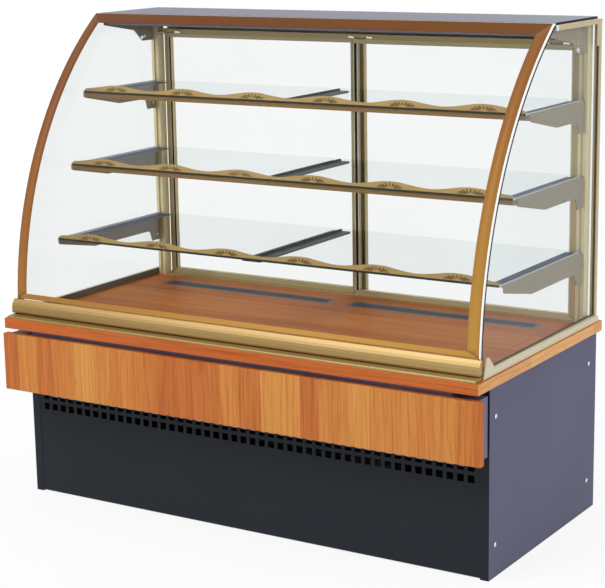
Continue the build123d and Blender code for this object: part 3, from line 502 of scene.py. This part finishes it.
rubber = plain_textured("seal_rubber", (0.015, 0.015, 0.017), 0.6)
white_plastic = plain_textured("white_plastic", (0.78, 0.78, 0.76), 0.45)
black_plastic = plain_textured("black_plastic", (0.02, 0.02, 0.022), 0.42)
chrome = plain_textured("chrome", (0.80, 0.80, 0.82), 0.12, 1.0, 120.0, 0.04)
bare_steel = plain_textured("bare_steel", (0.50, 0.51, 0.53), 0.35, 0.8, 200.0, 0.12)
liner_foam = plain_textured("liner_skin", (0.62, 0.62, 0.60), 0.5, 0.0, 40.0, 0.05)
fin_aluminium = plain_textured("fin_aluminium", (0.62, 0.63, 0.64), 0.4, 0.7, 150.0, 0.1)
paint("glass_gaskets", rubber)
paint_all(("rail_end_caps", "lamp_tube", "left_door_glides", "right_door_glides"), white_plastic)
paint_all(("evaporator_fan", "condenser_fan", "compressor"), black_plastic)
paint_all(("thermostat_knob", "power_inlet", "rocker_switch"), black_plastic)
paint_all(("side_panel_screws", "fixing_screws"), chrome)
paint("floor_tray", bare_steel)
paint("cold_well", liner_foam)
paint_all(("evaporator_coil", "condenser_coil"), fin_aluminium)
print("small finishes ready")

# %% [markdown]
# ## Slot walls of the shelf trims
# Each shelf trim is pierced by six fans of slots. The walls inside a slot see little light and read
# dark, so that shade is painted into a dark finish of their own. They are found as the faces near a
# fan's centre that look sideways.

# %% Slot walls
fan_pitch, fan_count = 0.232, 6
fan_centres = [fan_pitch * (i - (fan_count - 1) / 2) for i in range(fan_count)]
fan_reach = 0.044
# Painted shade: a dark finish for the slot walls, which see little light.
slot_dark = plain_textured("fan_slot_dark", rgb(58, 44, 28), 0.6)
for name in shelf_trims:
    nodes[name].data.materials.append(slot_dark)
    trim_lo, trim_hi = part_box(name)
    lowest, highest = trim_lo.z + 0.0015, trim_hi.z - 0.001

    def is_slot_wall(centre, normal):
        """True for a sideways face close to the centre of a fan."""
        near_fan = min(abs(centre.x - x) for x in fan_centres) < fan_reach
        return near_fan and lowest < centre.z < highest and abs(normal.y) < 0.5 and abs(normal.x) > 0.05

    choose_faces(name, 1, is_slot_wall)
print("fan centres", [round(x, 3) for x in fan_centres])

# %% [markdown]
# ## Glass
# A pane of float glass passes nearly all light straight on, with a mirror share that grows at a low
# angle. A Transparent shader mixed with a glossy one by the view angle gives just that, on both
# faces alike, and lets the lamps through to the shelves, which a refracting shader would not. Cut
# edges are greener and catch the light, so they get a finish of their own.

# %% Glass finishes


def pane(name, tint, base, grow, sheen=(1, 1, 1)):
    """Clear thin glass: a straight-through tint and a mirror share that grows as the view gets low."""
    material = bpy.data.materials.new(name)
    material.use_nodes = True
    tree = material.node_tree
    tree.nodes.clear()
    out = tree.nodes.new("ShaderNodeOutputMaterial")
    clear = tree.nodes.new("ShaderNodeBsdfTransparent")
    drawn = noise(tree, coordinates(tree), 2.2, 2.0, 0.4)
    darker = tuple(c - 0.006 for c in tint)
    tree.links.new(ramp(tree, drawn, [(0.3, darker), (0.7, tint)]), clear.inputs["Color"])
    mirror = tree.nodes.new("ShaderNodeBsdfGlossy")
    mirror.inputs["Color"].default_value = (*sheen, 1)
    mirror.inputs["Roughness"].default_value = 0.03
    facing = tree.nodes.new("ShaderNodeLayerWeight")
    facing.inputs["Blend"].default_value = 0.5
    slope = math_node(tree, "POWER", facing.outputs["Facing"], 5.0)
    share = math_node(tree, "ADD", math_node(tree, "MULTIPLY", slope, grow), base)
    mix = tree.nodes.new("ShaderNodeMixShader")
    tree.links.new(share, mix.inputs["Fac"])
    tree.links.new(clear.outputs["BSDF"], mix.inputs[1])
    tree.links.new(mirror.outputs["BSDF"], mix.inputs[2])
    tree.links.new(mix.outputs["Shader"], out.inputs["Surface"])
    return material


front_pane = pane("front_pane", (0.985, 0.99, 0.988), 0.001, 0.05)
side_pane = pane("side_pane", (0.955, 0.965, 0.962), 0.014, 0.3, (0.75, 0.82, 0.9))
door_pane = pane("door_pane", (0.975, 0.98, 0.98), 0.004, 0.3)
shelf_pane = pane("shelf_pane", (0.945, 0.96, 0.957), 0.004, 0.10, (0.86, 0.9, 0.93))
# Pale edge finish: partly the pale tone of ground glass, partly a painted highlight for light caught on
# the edges.
pale_edge_and_highlight = plain_textured("glass_edge_pale_and_highlight", (0.95, 0.97, 0.96), 0.2, 0.0, 60.0, 0.03)
soft_edge = plain_textured("glass_edge_soft", (0.84, 0.87, 0.86), 0.2, 0.0, 60.0, 0.06)
green_edge = plain_textured("glass_edge_green", rgb(50, 56, 46), 0.15, 0.0, 60.0, 0.25)
dull_edge = plain_textured("glass_edge_dull", rgb(96, 104, 104), 0.3, 0.0, 60.0, 0.15)
print("glass finishes", [m.name for m in (front_pane, side_pane, door_pane, shelf_pane)])

# %% [markdown]
# ## Glazing
# The flat panes come from the CAD. Faces across a pane's thin axis are the sheet and all others are
# its cut edges. The rear edge of a shelf stays clear, so that no dark line shows through the sheet
# from the front, and its ends are paler than the green front edge.

# %% Glazing


def glaze(node_name, pane_finish, edge_finish, axis):
    """Two finishes on one pane: faces across the given axis are the sheet, the rest its cut edges."""
    paint(node_name, pane_finish, edge_finish)
    for polygon in nodes[node_name].data.polygons:
        polygon.material_index = 0 if abs(polygon.normal[axis]) > 0.9 else 1


axis_x, axis_y, axis_z = 0, 1, 2
for name in ("side_glass_left", "side_glass_right"):
    glaze(name, side_pane, dull_edge, axis_x)
for name in ("left_door_glass", "right_door_glass"):
    glaze(name, door_pane, green_edge, axis_y)
shelf_panes = ("shelf_glass_top", "shelf_glass_middle", "shelf_glass_bottom")
for name in shelf_panes:
    glaze(name, shelf_pane, green_edge, axis_z)
    nodes[name].data.materials.append(soft_edge)
    choose_faces(name, 2, lambda centre, normal: abs(normal.x) > 0.7 and abs(centre.x) > 0.6)
    choose_faces(name, 0, lambda centre, normal: normal.y > 0.7)
print("glazed nodes:", 4 + len(shelf_panes))

# %% [markdown]
# ## Helpers for new pieces
# A new piece is drawn in a bmesh and becomes an object that rides on one of the bodies. Boxes,
# planar cuts and small rounded edges come back in several pieces, so each has its helper.

# %% Piece helpers


def add_piece(name, bm, materials, body):
    """Turn a bmesh into an object that rides on a body."""
    mesh = bpy.data.meshes.new(name)
    bm.to_mesh(mesh)
    bm.free()
    piece = bpy.data.objects.new(name, mesh)
    bpy.context.scene.collection.objects.link(piece)
    for material in materials:
        mesh.materials.append(material)
    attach(piece, body)
    return piece


def everything(bm):
    """All that a bmesh holds, as the cutting operators want it."""
    return list(bm.verts) + list(bm.edges) + list(bm.faces)


def made_verts(result):
    """The new vertices in an operator's result."""
    return [v for v in result["geom"] if isinstance(v, bmesh.types.BMVert)]


def turn_about(axis, degrees):
    """A rotation matrix about one axis."""
    return Matrix.Rotation(math.radians(degrees), 3, axis)


def add_block(bm, size, middle, tilt=None):
    """A box of the given size round a middle, with a tilt in degrees about Y where one is given."""
    verts = bmesh.ops.create_cube(bm, size=1.0)["verts"]
    bmesh.ops.scale(bm, vec=size, verts=verts)
    if tilt is not None:
        bmesh.ops.rotate(bm, cent=(0, 0, 0), matrix=turn_about("Y", tilt), verts=verts)
    bmesh.ops.translate(bm, vec=middle, verts=verts)


def round_edges(bm, edges, width, segments):
    """Round some edges off."""
    bmesh.ops.bevel(bm, geom=edges, offset=width, segments=segments, profile=0.5, affect="EDGES",
                    material=-1)


def cut_away(bm, place, normal):
    """Cut off what lies beyond a plane and close the cut."""
    cut = bmesh.ops.bisect_plane(bm, geom=everything(bm), plane_co=place, plane_no=normal,
                                 clear_outer=True)
    rim = [e for e in cut["geom_cut"] if isinstance(e, bmesh.types.BMEdge)]
    bmesh.ops.edgeloop_fill(bm, edges=rim)


print("piece helpers ready")

# %% [markdown]
# ## The curve of the front
# The front glass is one bent sheet, and its metal border follows the same bend. A flat strip of the
# section is spun about the centre line of the bend, which keeps the curve smooth however many steps
# it takes. The same helper makes the glass and all bands of the border.

# %% Front curve
curve_radius = 1.020
curve_centre = Vector((0, 0.6825, 0.536))
glass_thick = 0.006
case_top = cad_high.z
glass_lo, glass_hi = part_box("front_glass")


def bent_strip(bm, x0, x1, r_in, r_out, z0, z1, steps):
    """A solid strip between two heights on the front curve, spun about the bend's centre line."""
    a0 = math.asin((z0 - curve_centre.z) / r_out)
    a1 = math.asin((z1 - curve_centre.z) / r_out)
    corners = []
    for x, r in ((x0, r_in), (x1, r_in), (x1, r_out), (x0, r_out)):
        y, z = curve_centre.y - r * math.cos(a0), curve_centre.z + r * math.sin(a0)
        corners.append(bm.verts.new((x, y, z)))
    face = bm.faces.new(corners)
    bmesh.ops.spin(bm, geom=[face] + list(face.edges) + list(face.verts), cent=curve_centre,
                   axis=(-1, 0, 0), angle=a1 - a0, steps=steps, use_merge=False)


print("bend radius", curve_radius, "top of the case", round(case_top, 4))

# %% [markdown]
# ## The curved front glass
# The sheet runs from the moulding up to the roof. It is spun a little too far and then cut level
# with a plane, because the bend ends on a level cut and not square to itself. The broad faces are
# shaded smooth and the cut edges flat.

# %% Front glass
glass_overrun, glass_top_gap, glass_steps = 0.004, 0.0005, 110
bm = bmesh.new()
bent_strip(bm, glass_lo.x, glass_hi.x, curve_radius - glass_thick, curve_radius, glass_lo.z,
           case_top + glass_overrun, glass_steps)
cut_away(bm, (0, 0, case_top - glass_top_gap), (0, 0, 1))
bmesh.ops.recalc_face_normals(bm, faces=bm.faces)
front_glass = add_piece("bent_front_glass", bm, [front_pane, pale_edge_and_highlight], "front_glass_unit")
for polygon in front_glass.data.polygons:
    radial = polygon.center - curve_centre
    radial.x = 0
    is_sheet = abs(polygon.normal.dot(radial.normalized())) > 0.9
    polygon.material_index = 0 if is_sheet else 1
    polygon.use_smooth = is_sheet
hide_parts("front_glass")
print("front glass faces", len(front_glass.data.polygons))

# %% [markdown]
# ## Border finish
# The bands round the front glass are satin bronze strips. Bronze turns to gold where the strip faces
# the light, towards the lower right. That gold is a painted reflection: a slow blend of X and Z is
# mixed into the colour, with a little noise in it for tone at random.

# %% Border finish
border_metal, tree, shader = new_finish("border_bronze", rgb(150, 100, 60), 0.45, 0.1, 0.12)
position = position_parts(tree)
mottle = noise(tree, coordinates(tree), 300.0, 2.0, 0.6)
# Painted reflection: lighter gold towards +X and low Z, where the bands face the light.
painted_light_blend = weighted(tree, position["X"], 0.24, position["Z"], -0.85)
painted_light_blend = math_node(tree, "ADD", painted_light_blend, 1.15)
painted_light_blend = math_node(tree, "ADD", painted_light_blend, math_node(tree, "MULTIPLY", mottle, 0.12))
bronze, brass, gold = rgb(122, 76, 44), rgb(152, 100, 50), rgb(186, 140, 64)
tree.links.new(ramp(tree, painted_light_blend, [(0.05, bronze), (0.42, brass), (0.85, gold)]),
               shader.inputs["Base Color"])
roughness_between(tree, shader, mottle, 0.40, 0.55)
add_bump(tree, shader, mottle, 0.08, 0.0002)
print("border finish ready")

# %% [markdown]
# ## Border bands
# Four thin bands lie on the glass and meet in mitres, as in a picture frame. Each is bent with the
# glass helper and then cut on the slant at its corners. A quarter of a millimetre is left in each
# mitre, so that the joint shows as a fine line and no two faces lie in one place.

# %% Border bands
border_lo, border_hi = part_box("glass_border")
top_band, low_band, side_band = 0.025, 0.015, 0.032
band_in, band_out = curve_radius + 0.0001, curve_radius + 0.0008
band_overrun, band_top_gap, upright_steps = 0.003, 0.0003, 80
mitre_gap = 0.00025
band_end = case_top + band_overrun
bands = (
    ("border_left", border_lo.x, border_lo.x + side_band, border_lo.z, band_end, upright_steps),
    ("border_right", border_hi.x - side_band, border_hi.x, border_lo.z, band_end, upright_steps),
    ("border_bottom", border_lo.x, border_hi.x, border_lo.z, border_lo.z + low_band, 4),
    ("border_top", border_lo.x, border_hi.x, case_top - top_band, band_end, 8),
)


def mitre(bm, corner, slant, keep):
    """Cut a band on the slant at a corner of the border. keep is 1 or -1, for the side that goes."""
    cut_away(bm, corner, Vector((-slant.z, 0, slant.x)) * keep)


for name, x0, x1, z0, z1, steps in bands:
    upright = name in ("border_left", "border_right")
    shift = mitre_gap if upright else -mitre_gap
    bm = bmesh.new()
    bent_strip(bm, x0, x1, band_in, band_out, z0, z1, steps)
    if z1 > case_top:
        cut_away(bm, (0, 0, case_top - band_top_gap), (0, 0, 1))
    for side, corner_x in ((-1, border_lo.x), (1, border_hi.x)):
        if upright and (x0 + x1) * side < 0:
            continue
        keep = side if upright else -side
        if name != "border_top":
            low_corner = Vector((corner_x, 0, border_lo.z + shift))
            mitre(bm, low_corner, Vector((-side * side_band, 0, low_band)), keep)
        if name != "border_bottom":
            top_corner = Vector((corner_x, 0, case_top - shift))
            mitre(bm, top_corner, Vector((-side * side_band, 0, -top_band)), -keep)
    bmesh.ops.recalc_face_normals(bm, faces=bm.faces)
    strip = add_piece(name, bm, [border_metal], "front_glass_unit")
    for polygon in strip.data.polygons:
        polygon.use_smooth = abs(polygon.normal.x) < 0.5 and polygon.area > 0.00005
    if name == "border_left":
        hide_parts("glass_border")
print("border bands", len(bands))

# %% [markdown]
# ## Pale rims of the front glass
# Outside the border a few millimetres of ground glass stay bare and catch the light as a pale line.
# A thin bent strip on each side draws that line in the plane of the bands: its near white is partly
# the pale tone of the ground edge and partly a painted highlight.

# %% Glass rims
rim_gap = 0.0003
for side, word in ((-1, "left"), (1, "right")):
    bm = bmesh.new()
    near, far = sorted((side * (border_hi.x + rim_gap), side * glass_hi.x))
    bent_strip(bm, near, far, band_in, band_out, border_lo.z, band_end, upright_steps)
    cut_away(bm, (0, 0, case_top - band_top_gap), (0, 0, 1))
    bmesh.ops.recalc_face_normals(bm, faces=bm.faces)
    add_piece("glass_rim_" + word, bm, [pale_edge_and_highlight], "front_glass_unit")
    print("rim", word, "is", round((far - near) * 1000, 2), "mm wide")

# %% [markdown]
# ## Door metal
# The rear doors are framed in pale anodised bars. Level and upright bars each get their own finish,
# because the drawn lines follow the bar. A raised bead runs beside the gasket; its near-white colour is
# a painted highlight, standing in for the light that the glass edges catch.

# %% Door finishes
rail_metal = anodised("door_metal_level", rgb(212, 194, 140), "x", 0.42, 0.3, 0.14)
stile_metal = anodised("door_metal_upright", rgb(200, 180, 132), "z", 0.42, 0.3, 0.14)
# Painted highlight: near white for the light caught along the glass edges beside the gasket.
bead_pale = plain_textured("door_bead_pale", (1.0, 0.99, 0.94), 0.35, 0.0, 200.0, 0.04)
print("door finishes", rail_metal.name, stile_metal.name, bead_pale.name)

# %% [markdown]
# ## Door frames
# Each frame is four extruded bars mitred at the corners: a flat metal face, a raised pale bead and a
# dark gasket at the sight edge. The front and the back of a block each take six insets. Every new
# ring is moved to its distance from the sight edge and its depth, the two innermost faces are taken
# out, and a bridge joins the holes. Insets keep the mitres, which four separate bars would need cuts
# for. The strips on the left bar of each frame sit at other distances, as in the photograph.

# %% Door frames
door_stile, door_top_rail, door_low_rail = 0.022, 0.022, 0.0165
bead_height = 0.0006
metal, level_metal, bead, gasket = 0, 1, 2, 3
# For each ring: distance from the sight edge, height over the metal face, finish of its strip.
rings = ((0.0030, 0.0, metal), (0.0028, bead_height, bead), (0.0016, bead_height, bead),
         (0.0014, -0.0008, gasket), (0.0008, -0.0008, gasket), (0.0, -0.0008, bead))
left_bar_distances = {
    "left_door": (0.0066, 0.0064, 0.0054, 0.0052, 0.0004, 0.0),
    "right_door": (0.0128, 0.0126, 0.0100, 0.0098, 0.0028, 0.0),
}


def door_frame(node_name, body):
    """A mitred frame in the box of a CAD frame."""
    lo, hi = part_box(node_name)
    middle, size = (lo + hi) / 2, hi - lo
    bm = bmesh.new()
    add_block(bm, size, middle)
    sight_lo = Vector((lo.x + door_stile, 0, lo.z + door_low_rail))
    sight_hi = Vector((hi.x - door_stile, 0, hi.z - door_top_rail))

    def broad_faces():
        return [f for f in bm.faces if abs(f.normal.y) > 0.9 and f.calc_area() > size.x * size.z / 2]

    for direction, plane in ((-1, lo.y), (1, hi.y)):
        bm.normal_update()
        face = [f for f in broad_faces() if f.normal.y * direction > 0][0]
        for (distance, height, finish), left_distance in zip(rings, left_bar_distances[body]):
            made = bmesh.ops.inset_region(bm, faces=[face], thickness=0.0005, use_even_offset=True)
            for vert in face.verts:
                is_left, is_low = vert.co.x < middle.x, vert.co.z < middle.z
                vert.co.x = sight_lo.x - left_distance if is_left else sight_hi.x + distance
                vert.co.z = sight_lo.z - distance if is_low else sight_hi.z + distance
                vert.co.y = plane + direction * (height - bead_height)
            for strip in made["faces"]:
                strip.material_index = finish
    openings = broad_faces()
    rims = [e for f in openings for e in f.edges]
    bmesh.ops.delete(bm, geom=openings, context="FACES_ONLY")
    for wall in bmesh.ops.bridge_loops(bm, edges=rims)["faces"]:
        wall.material_index = metal
    bmesh.ops.recalc_face_normals(bm, faces=bm.faces)
    bm.normal_update()
    for face in bm.faces:
        centre = face.calc_center_median()
        reach_x, reach_z = abs(centre.x - middle.x) / size.x, abs(centre.z - middle.z) / size.z
        if face.material_index == metal and reach_x < reach_z:
            face.material_index = level_metal
    seams = [e for e in bm.edges if {f.material_index for f in e.link_faces} == {metal, level_metal}]
    bmesh.ops.bevel(bm, geom=seams, offset=0.0008, segments=1, profile=0.5, affect="EDGES",
                    material=gasket)
    corners = [e for e in bm.edges if e.calc_face_angle(0) > 1.0
               and all(f.material_index <= level_metal for f in e.link_faces)]
    round_edges(bm, corners, 0.0007, 2)
    finishes = [stile_metal, rail_metal, bead_pale, rubber]
    return add_piece(node_name + "_mitred", bm, finishes, body)


for body in ("left_door", "right_door"):
    name = body + "_frame"
    frame_piece = door_frame(name, body)
    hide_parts(name)
    print(name, "faces", len(frame_piece.data.polygons))

# %% [markdown]
# ## Spring clips
# Three bent wires hang between pairs of bright pads in front of the upper track. A small ring is
# spun through a shallow arc for the wire, which needs no curve object, and two blocks make the pads.

# %% Spring clips
clip_lo, clip_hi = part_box("track_clips")
wire_dark = plain_textured("clip_wire", (0.10, 0.10, 0.11), 0.3, 0.8, 200.0, 0.1)
clip_lefts = (-0.684, -0.019, 0.580)
clip_span, clip_z, clip_y = 0.078, 1.2805, (clip_lo.y + clip_hi.y) / 2
pad_size, pad_tilt = (0.0190, clip_hi.y - clip_lo.y, 0.0052), 4
wire_radius, bend_radius, bend_rise, half_bend = 0.0010, 0.0589, 0.0554, 19.85
for index, left in enumerate(clip_lefts):
    bm = bmesh.new()
    for x in (left + pad_size[0] / 2, left + clip_span - pad_size[0] / 2):
        add_block(bm, pad_size, (x, clip_y, clip_z), pad_tilt)
    round_edges(bm, list(bm.edges), 0.0006, 2)
    pads = set(bm.faces)
    ring = bmesh.ops.create_circle(bm, cap_ends=False, radius=wire_radius, segments=10)["verts"]
    bmesh.ops.rotate(bm, cent=(0, 0, 0), matrix=turn_about("Y", 90), verts=ring)
    centre = Vector((left + clip_span / 2, clip_y, clip_z + bend_rise))
    bmesh.ops.translate(bm, vec=centre - Vector((0, 0, bend_radius)), verts=ring)
    bmesh.ops.rotate(bm, cent=centre, matrix=turn_about("Y", half_bend), verts=ring)
    edges = list({e for v in ring for e in v.link_edges})
    bmesh.ops.spin(bm, geom=ring + edges, cent=centre, axis=(0, -1, 0),
                   angle=2 * math.radians(half_bend), steps=14, use_merge=False)
    for face in set(bm.faces) - pads:
        face.material_index = 1
        face.smooth = True
    bmesh.ops.holes_fill(bm, edges=[e for e in bm.edges if e.is_boundary], sides=12)
    bmesh.ops.recalc_face_normals(bm, faces=bm.faces)
    clip = add_piece("clip_%d" % (index + 1), bm, [chrome, wire_dark], "cabinet")
    if index == 0:
        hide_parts("track_clips")
print("clips", len(clip_lefts))

# %% [markdown]
# ## Gusset screws
# A bright screw with a broad washer holds each roof gusset, and shows on both of its faces. Discs
# are extruded along X and their outer rims rounded: a wide thin one for the washer, and a narrower
# one on top of it for the head.

# %% Gusset screws
screw_y, screw_z = 0.2571, 1.2690
washer_radius, head_radius = 0.0078, 0.0058
inner_face, outer_face, washer_thick = 0.7040, 0.7066, 0.0012
screw_discs = (
    (washer_radius, inner_face, inner_face - washer_thick),
    (head_radius, inner_face - washer_thick, 0.7004),
    (washer_radius, outer_face, outer_face + washer_thick),
    (head_radius, outer_face + washer_thick, 0.7100),
)
for side, word in ((-1, "left"), (1, "right")):
    bm = bmesh.new()
    for radius, near, far in screw_discs:
        disc = bmesh.ops.create_circle(bm, cap_ends=True, radius=radius, segments=28)["verts"]
        bmesh.ops.rotate(bm, cent=(0, 0, 0), matrix=turn_about("Y", 90), verts=disc)
        bmesh.ops.translate(bm, vec=(side * near, screw_y, screw_z), verts=disc)
        top = made_verts(bmesh.ops.extrude_face_region(bm, geom=[disc[0].link_faces[0]]))
        bmesh.ops.translate(bm, vec=(side * (far - near), 0, 0), verts=top)
        rim = list({e for v in top for e in v.link_edges if all(w in top for w in e.verts)})
        round_edges(bm, rim, 0.0006, 3)
    bmesh.ops.recalc_face_normals(bm, faces=bm.faces)
    add_piece("gusset_screw_" + word, bm, [chrome], "cabinet")
print("discs on each gusset", len(screw_discs))

# %% [markdown]
# ## Profile ends
# The two upper shelves have a square profile under their front edge. At each end a small enamelled
# block closes it against the bracket. A box with its four long edges rounded is enough for a piece
# of a centimetre.

# %% Profile ends
block_size = (0.0064, 0.0118, 0.0116)
block_x, block_behind, block_below = 0.6994, 0.0081, 0.0061
for level in ("top", "middle"):
    pane_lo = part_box("shelf_glass_" + level)[0]
    for side, word in ((-1, "left"), (1, "right")):
        bm = bmesh.new()
        add_block(bm, block_size, (side * block_x, pane_lo.y + block_behind, pane_lo.z - block_below))
        long_edges = [e for e in bm.edges if abs((e.verts[0].co - e.verts[1].co).x) > 0.005]
        round_edges(bm, long_edges, 0.0015, 3)
        add_piece("profile_end_%s_%s" % (level, word), bm, [bracket_enamel], "cabinet")
    print("profile ends at", level, "under", round(pane_lo.z, 4))

# %% [markdown]
# ## Fans of slots
# Behind each fan of slots in the shelf trims lies a thin dark half-oval film, a sheet of painted
# shade where the slots only hold shade, so that the petals read dark against the bright room. Each
# film is a circle stretched to an oval, cut in half with a plane and extruded to a thin sheet.

# %% Fan films
# Painted shade: a dark sheet standing in for the shade inside the slots.
film_dark = plain_textured("fan_film_dark", rgb(26, 18, 12), 0.6, 0.0, 500.0, 0.3)
film_half_width, film_height, film_thick = 0.0405, 0.0138, 0.0004
film_foot, film_gap = 0.0012, 0.0001
for level in ("top", "middle", "bottom"):
    trim_lo, trim_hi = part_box("shelf_trim_" + level)
    rear_faces = [p for p in nodes["shelf_trim_" + level].data.polygons
                  if p.normal.y > 0.95 and p.center.z > trim_lo.z + 0.003]
    web_rear = max(rear_faces, key=lambda p: p.area).center.y
    foot = trim_lo.z + film_foot
    bm = bmesh.new()
    for x in fan_centres:
        disc = bmesh.ops.create_circle(bm, cap_ends=True, radius=1.0, segments=36)["verts"]
        bmesh.ops.rotate(bm, cent=(0, 0, 0), matrix=turn_about("X", 90), verts=disc)
        bmesh.ops.scale(bm, vec=(film_half_width, 1, film_height), verts=disc)
        bmesh.ops.translate(bm, vec=(x, web_rear + film_gap, foot), verts=disc)
    bmesh.ops.bisect_plane(bm, geom=everything(bm), plane_co=(0, 0, foot), plane_no=(0, 0, -1),
                           clear_outer=True)
    grown = made_verts(bmesh.ops.extrude_face_region(bm, geom=list(bm.faces)))
    bmesh.ops.translate(bm, vec=(0, film_thick, 0), verts=grown)
    bmesh.ops.recalc_face_normals(bm, faces=bm.faces)
    add_piece("fan_shade_films_" + level, bm, [film_dark], "cabinet")
    print("films", level, "behind", round(web_rear, 4), "of", round(trim_lo.y, 4), round(trim_hi.y, 4))

# %% [markdown]
# ## Floor
# A plain white floor that shows white to the camera and keeps the soft shadow of the case. For the
# camera the floor is mostly a plain glow. Near the case a seventh of it is a diffuse shader, which
# keeps a faint shadow, and a ramp on the distance lets the glow take over farther out. Only rays
# from the camera and from mirrors see the glow, so it adds no light to the case.

# %% Floor


def seen_by(tree, *rays):
    """1 where a ray of one of the given kinds arrives, else 0."""
    path = tree.nodes.new("ShaderNodeLightPath")
    total = path.outputs[rays[0]]
    for ray in rays[1:]:
        total = math_node(tree, "MAXIMUM", total, path.outputs[ray])
    return total


def mix_into(tree, factor, first, second, surface):
    """Mix two shaders into an output."""
    mix = tree.nodes.new("ShaderNodeMixShader")
    tree.links.new(factor, mix.inputs["Fac"])
    tree.links.new(first, mix.inputs[1])
    tree.links.new(second, mix.inputs[2])
    tree.links.new(mix.outputs["Shader"], surface)


white = (1, 1, 1)
floor_half, glare_scale = 14, 0.25
floor_mesh = bpy.data.meshes.new("floor")
bm = bmesh.new()
bmesh.ops.create_grid(bm, x_segments=1, y_segments=1, size=floor_half)
bm.to_mesh(floor_mesh)
bm.free()
floor = bpy.data.objects.new("floor", floor_mesh)
bpy.context.scene.collection.objects.link(floor)
floor_white, tree, shader = new_finish("floor_white", (0.86, 0.86, 0.86), 0.8)
glow = tree.nodes.new("ShaderNodeEmission")
glow.inputs["Color"].default_value = (*white, 1)
distance = tree.nodes.new("ShaderNodeVectorMath")
distance.operation = "LENGTH"
tree.links.new(coordinates(tree), distance.inputs[0])
glare = ramp(tree, math_node(tree, "MULTIPLY", distance.outputs["Value"], glare_scale),
             [(0.20, (0.86, 0.86, 0.86)), (0.55, white)])
seen = seen_by(tree, "Is Camera Ray", "Is Glossy Ray")
mix_into(tree, math_node(tree, "MULTIPLY", seen, glare), shader.outputs["BSDF"],
         glow.outputs["Emission"], tree.nodes["Material Output"].inputs["Surface"])
floor_mesh.materials.append(floor_white)
print("floor", 2 * floor_half, "m wide")

# %% [markdown]
# ## Sky and lamps
# An even sky lights the case from all sides, weaker than it looks to the camera, so that the
# background is white and the colours stay deep. Three large soft lamps give the rest: a key from
# the front left, one from the right and one from behind.

# %% Sky and lamps


def background(tree, colour, strength):
    """One sky colour at a strength."""
    node = tree.nodes.new("ShaderNodeBackground")
    node.inputs["Color"].default_value = (*colour, 1)
    node.inputs["Strength"].default_value = strength
    return node.outputs["Background"]


def soft_lamp(name, place, aim, size, power):
    """A large square lamp pointed at a place."""
    data = bpy.data.lights.new(name, "AREA")
    data.shape = "SQUARE"
    data.size = size
    data.energy = power
    lamp = bpy.data.objects.new(name, data)
    bpy.context.scene.collection.objects.link(lamp)
    place, aim = Vector(place), Vector(aim)
    look = (aim - place).to_track_quat("-Z", "Y").to_matrix().to_4x4()
    lamp.matrix_world = Matrix.Translation(place) @ look


world = bpy.data.worlds.new("sky")
bpy.context.scene.world = world
world.use_nodes = True
tree = world.node_tree
tree.nodes.clear()
out = tree.nodes.new("ShaderNodeOutputWorld")
mix_into(tree, seen_by(tree, "Is Camera Ray", "Is Glossy Ray", "Is Transmission Ray"),
         background(tree, (0.97, 0.98, 1.0), 0.55), background(tree, white, 1.0),
         out.inputs["Surface"])
soft_lamp("key_lamp", (-2.2, -3.6, 5.2), (0, 0, 0.6), 3.6, 230)
soft_lamp("side_lamp", (4.8, -0.6, 2.6), (0.3, 0, 0.6), 2.8, 70)
soft_lamp("back_lamp", (0.5, 3.6, 3.4), (0, 0, 0.8), 2.8, 60)
print("lamps", len(bpy.data.lights))

# %% [markdown]
# ## Colour view
# The render shows its colours through the Standard view transform.

# %% View transform
bpy.context.scene.view_settings.view_transform = "Standard"
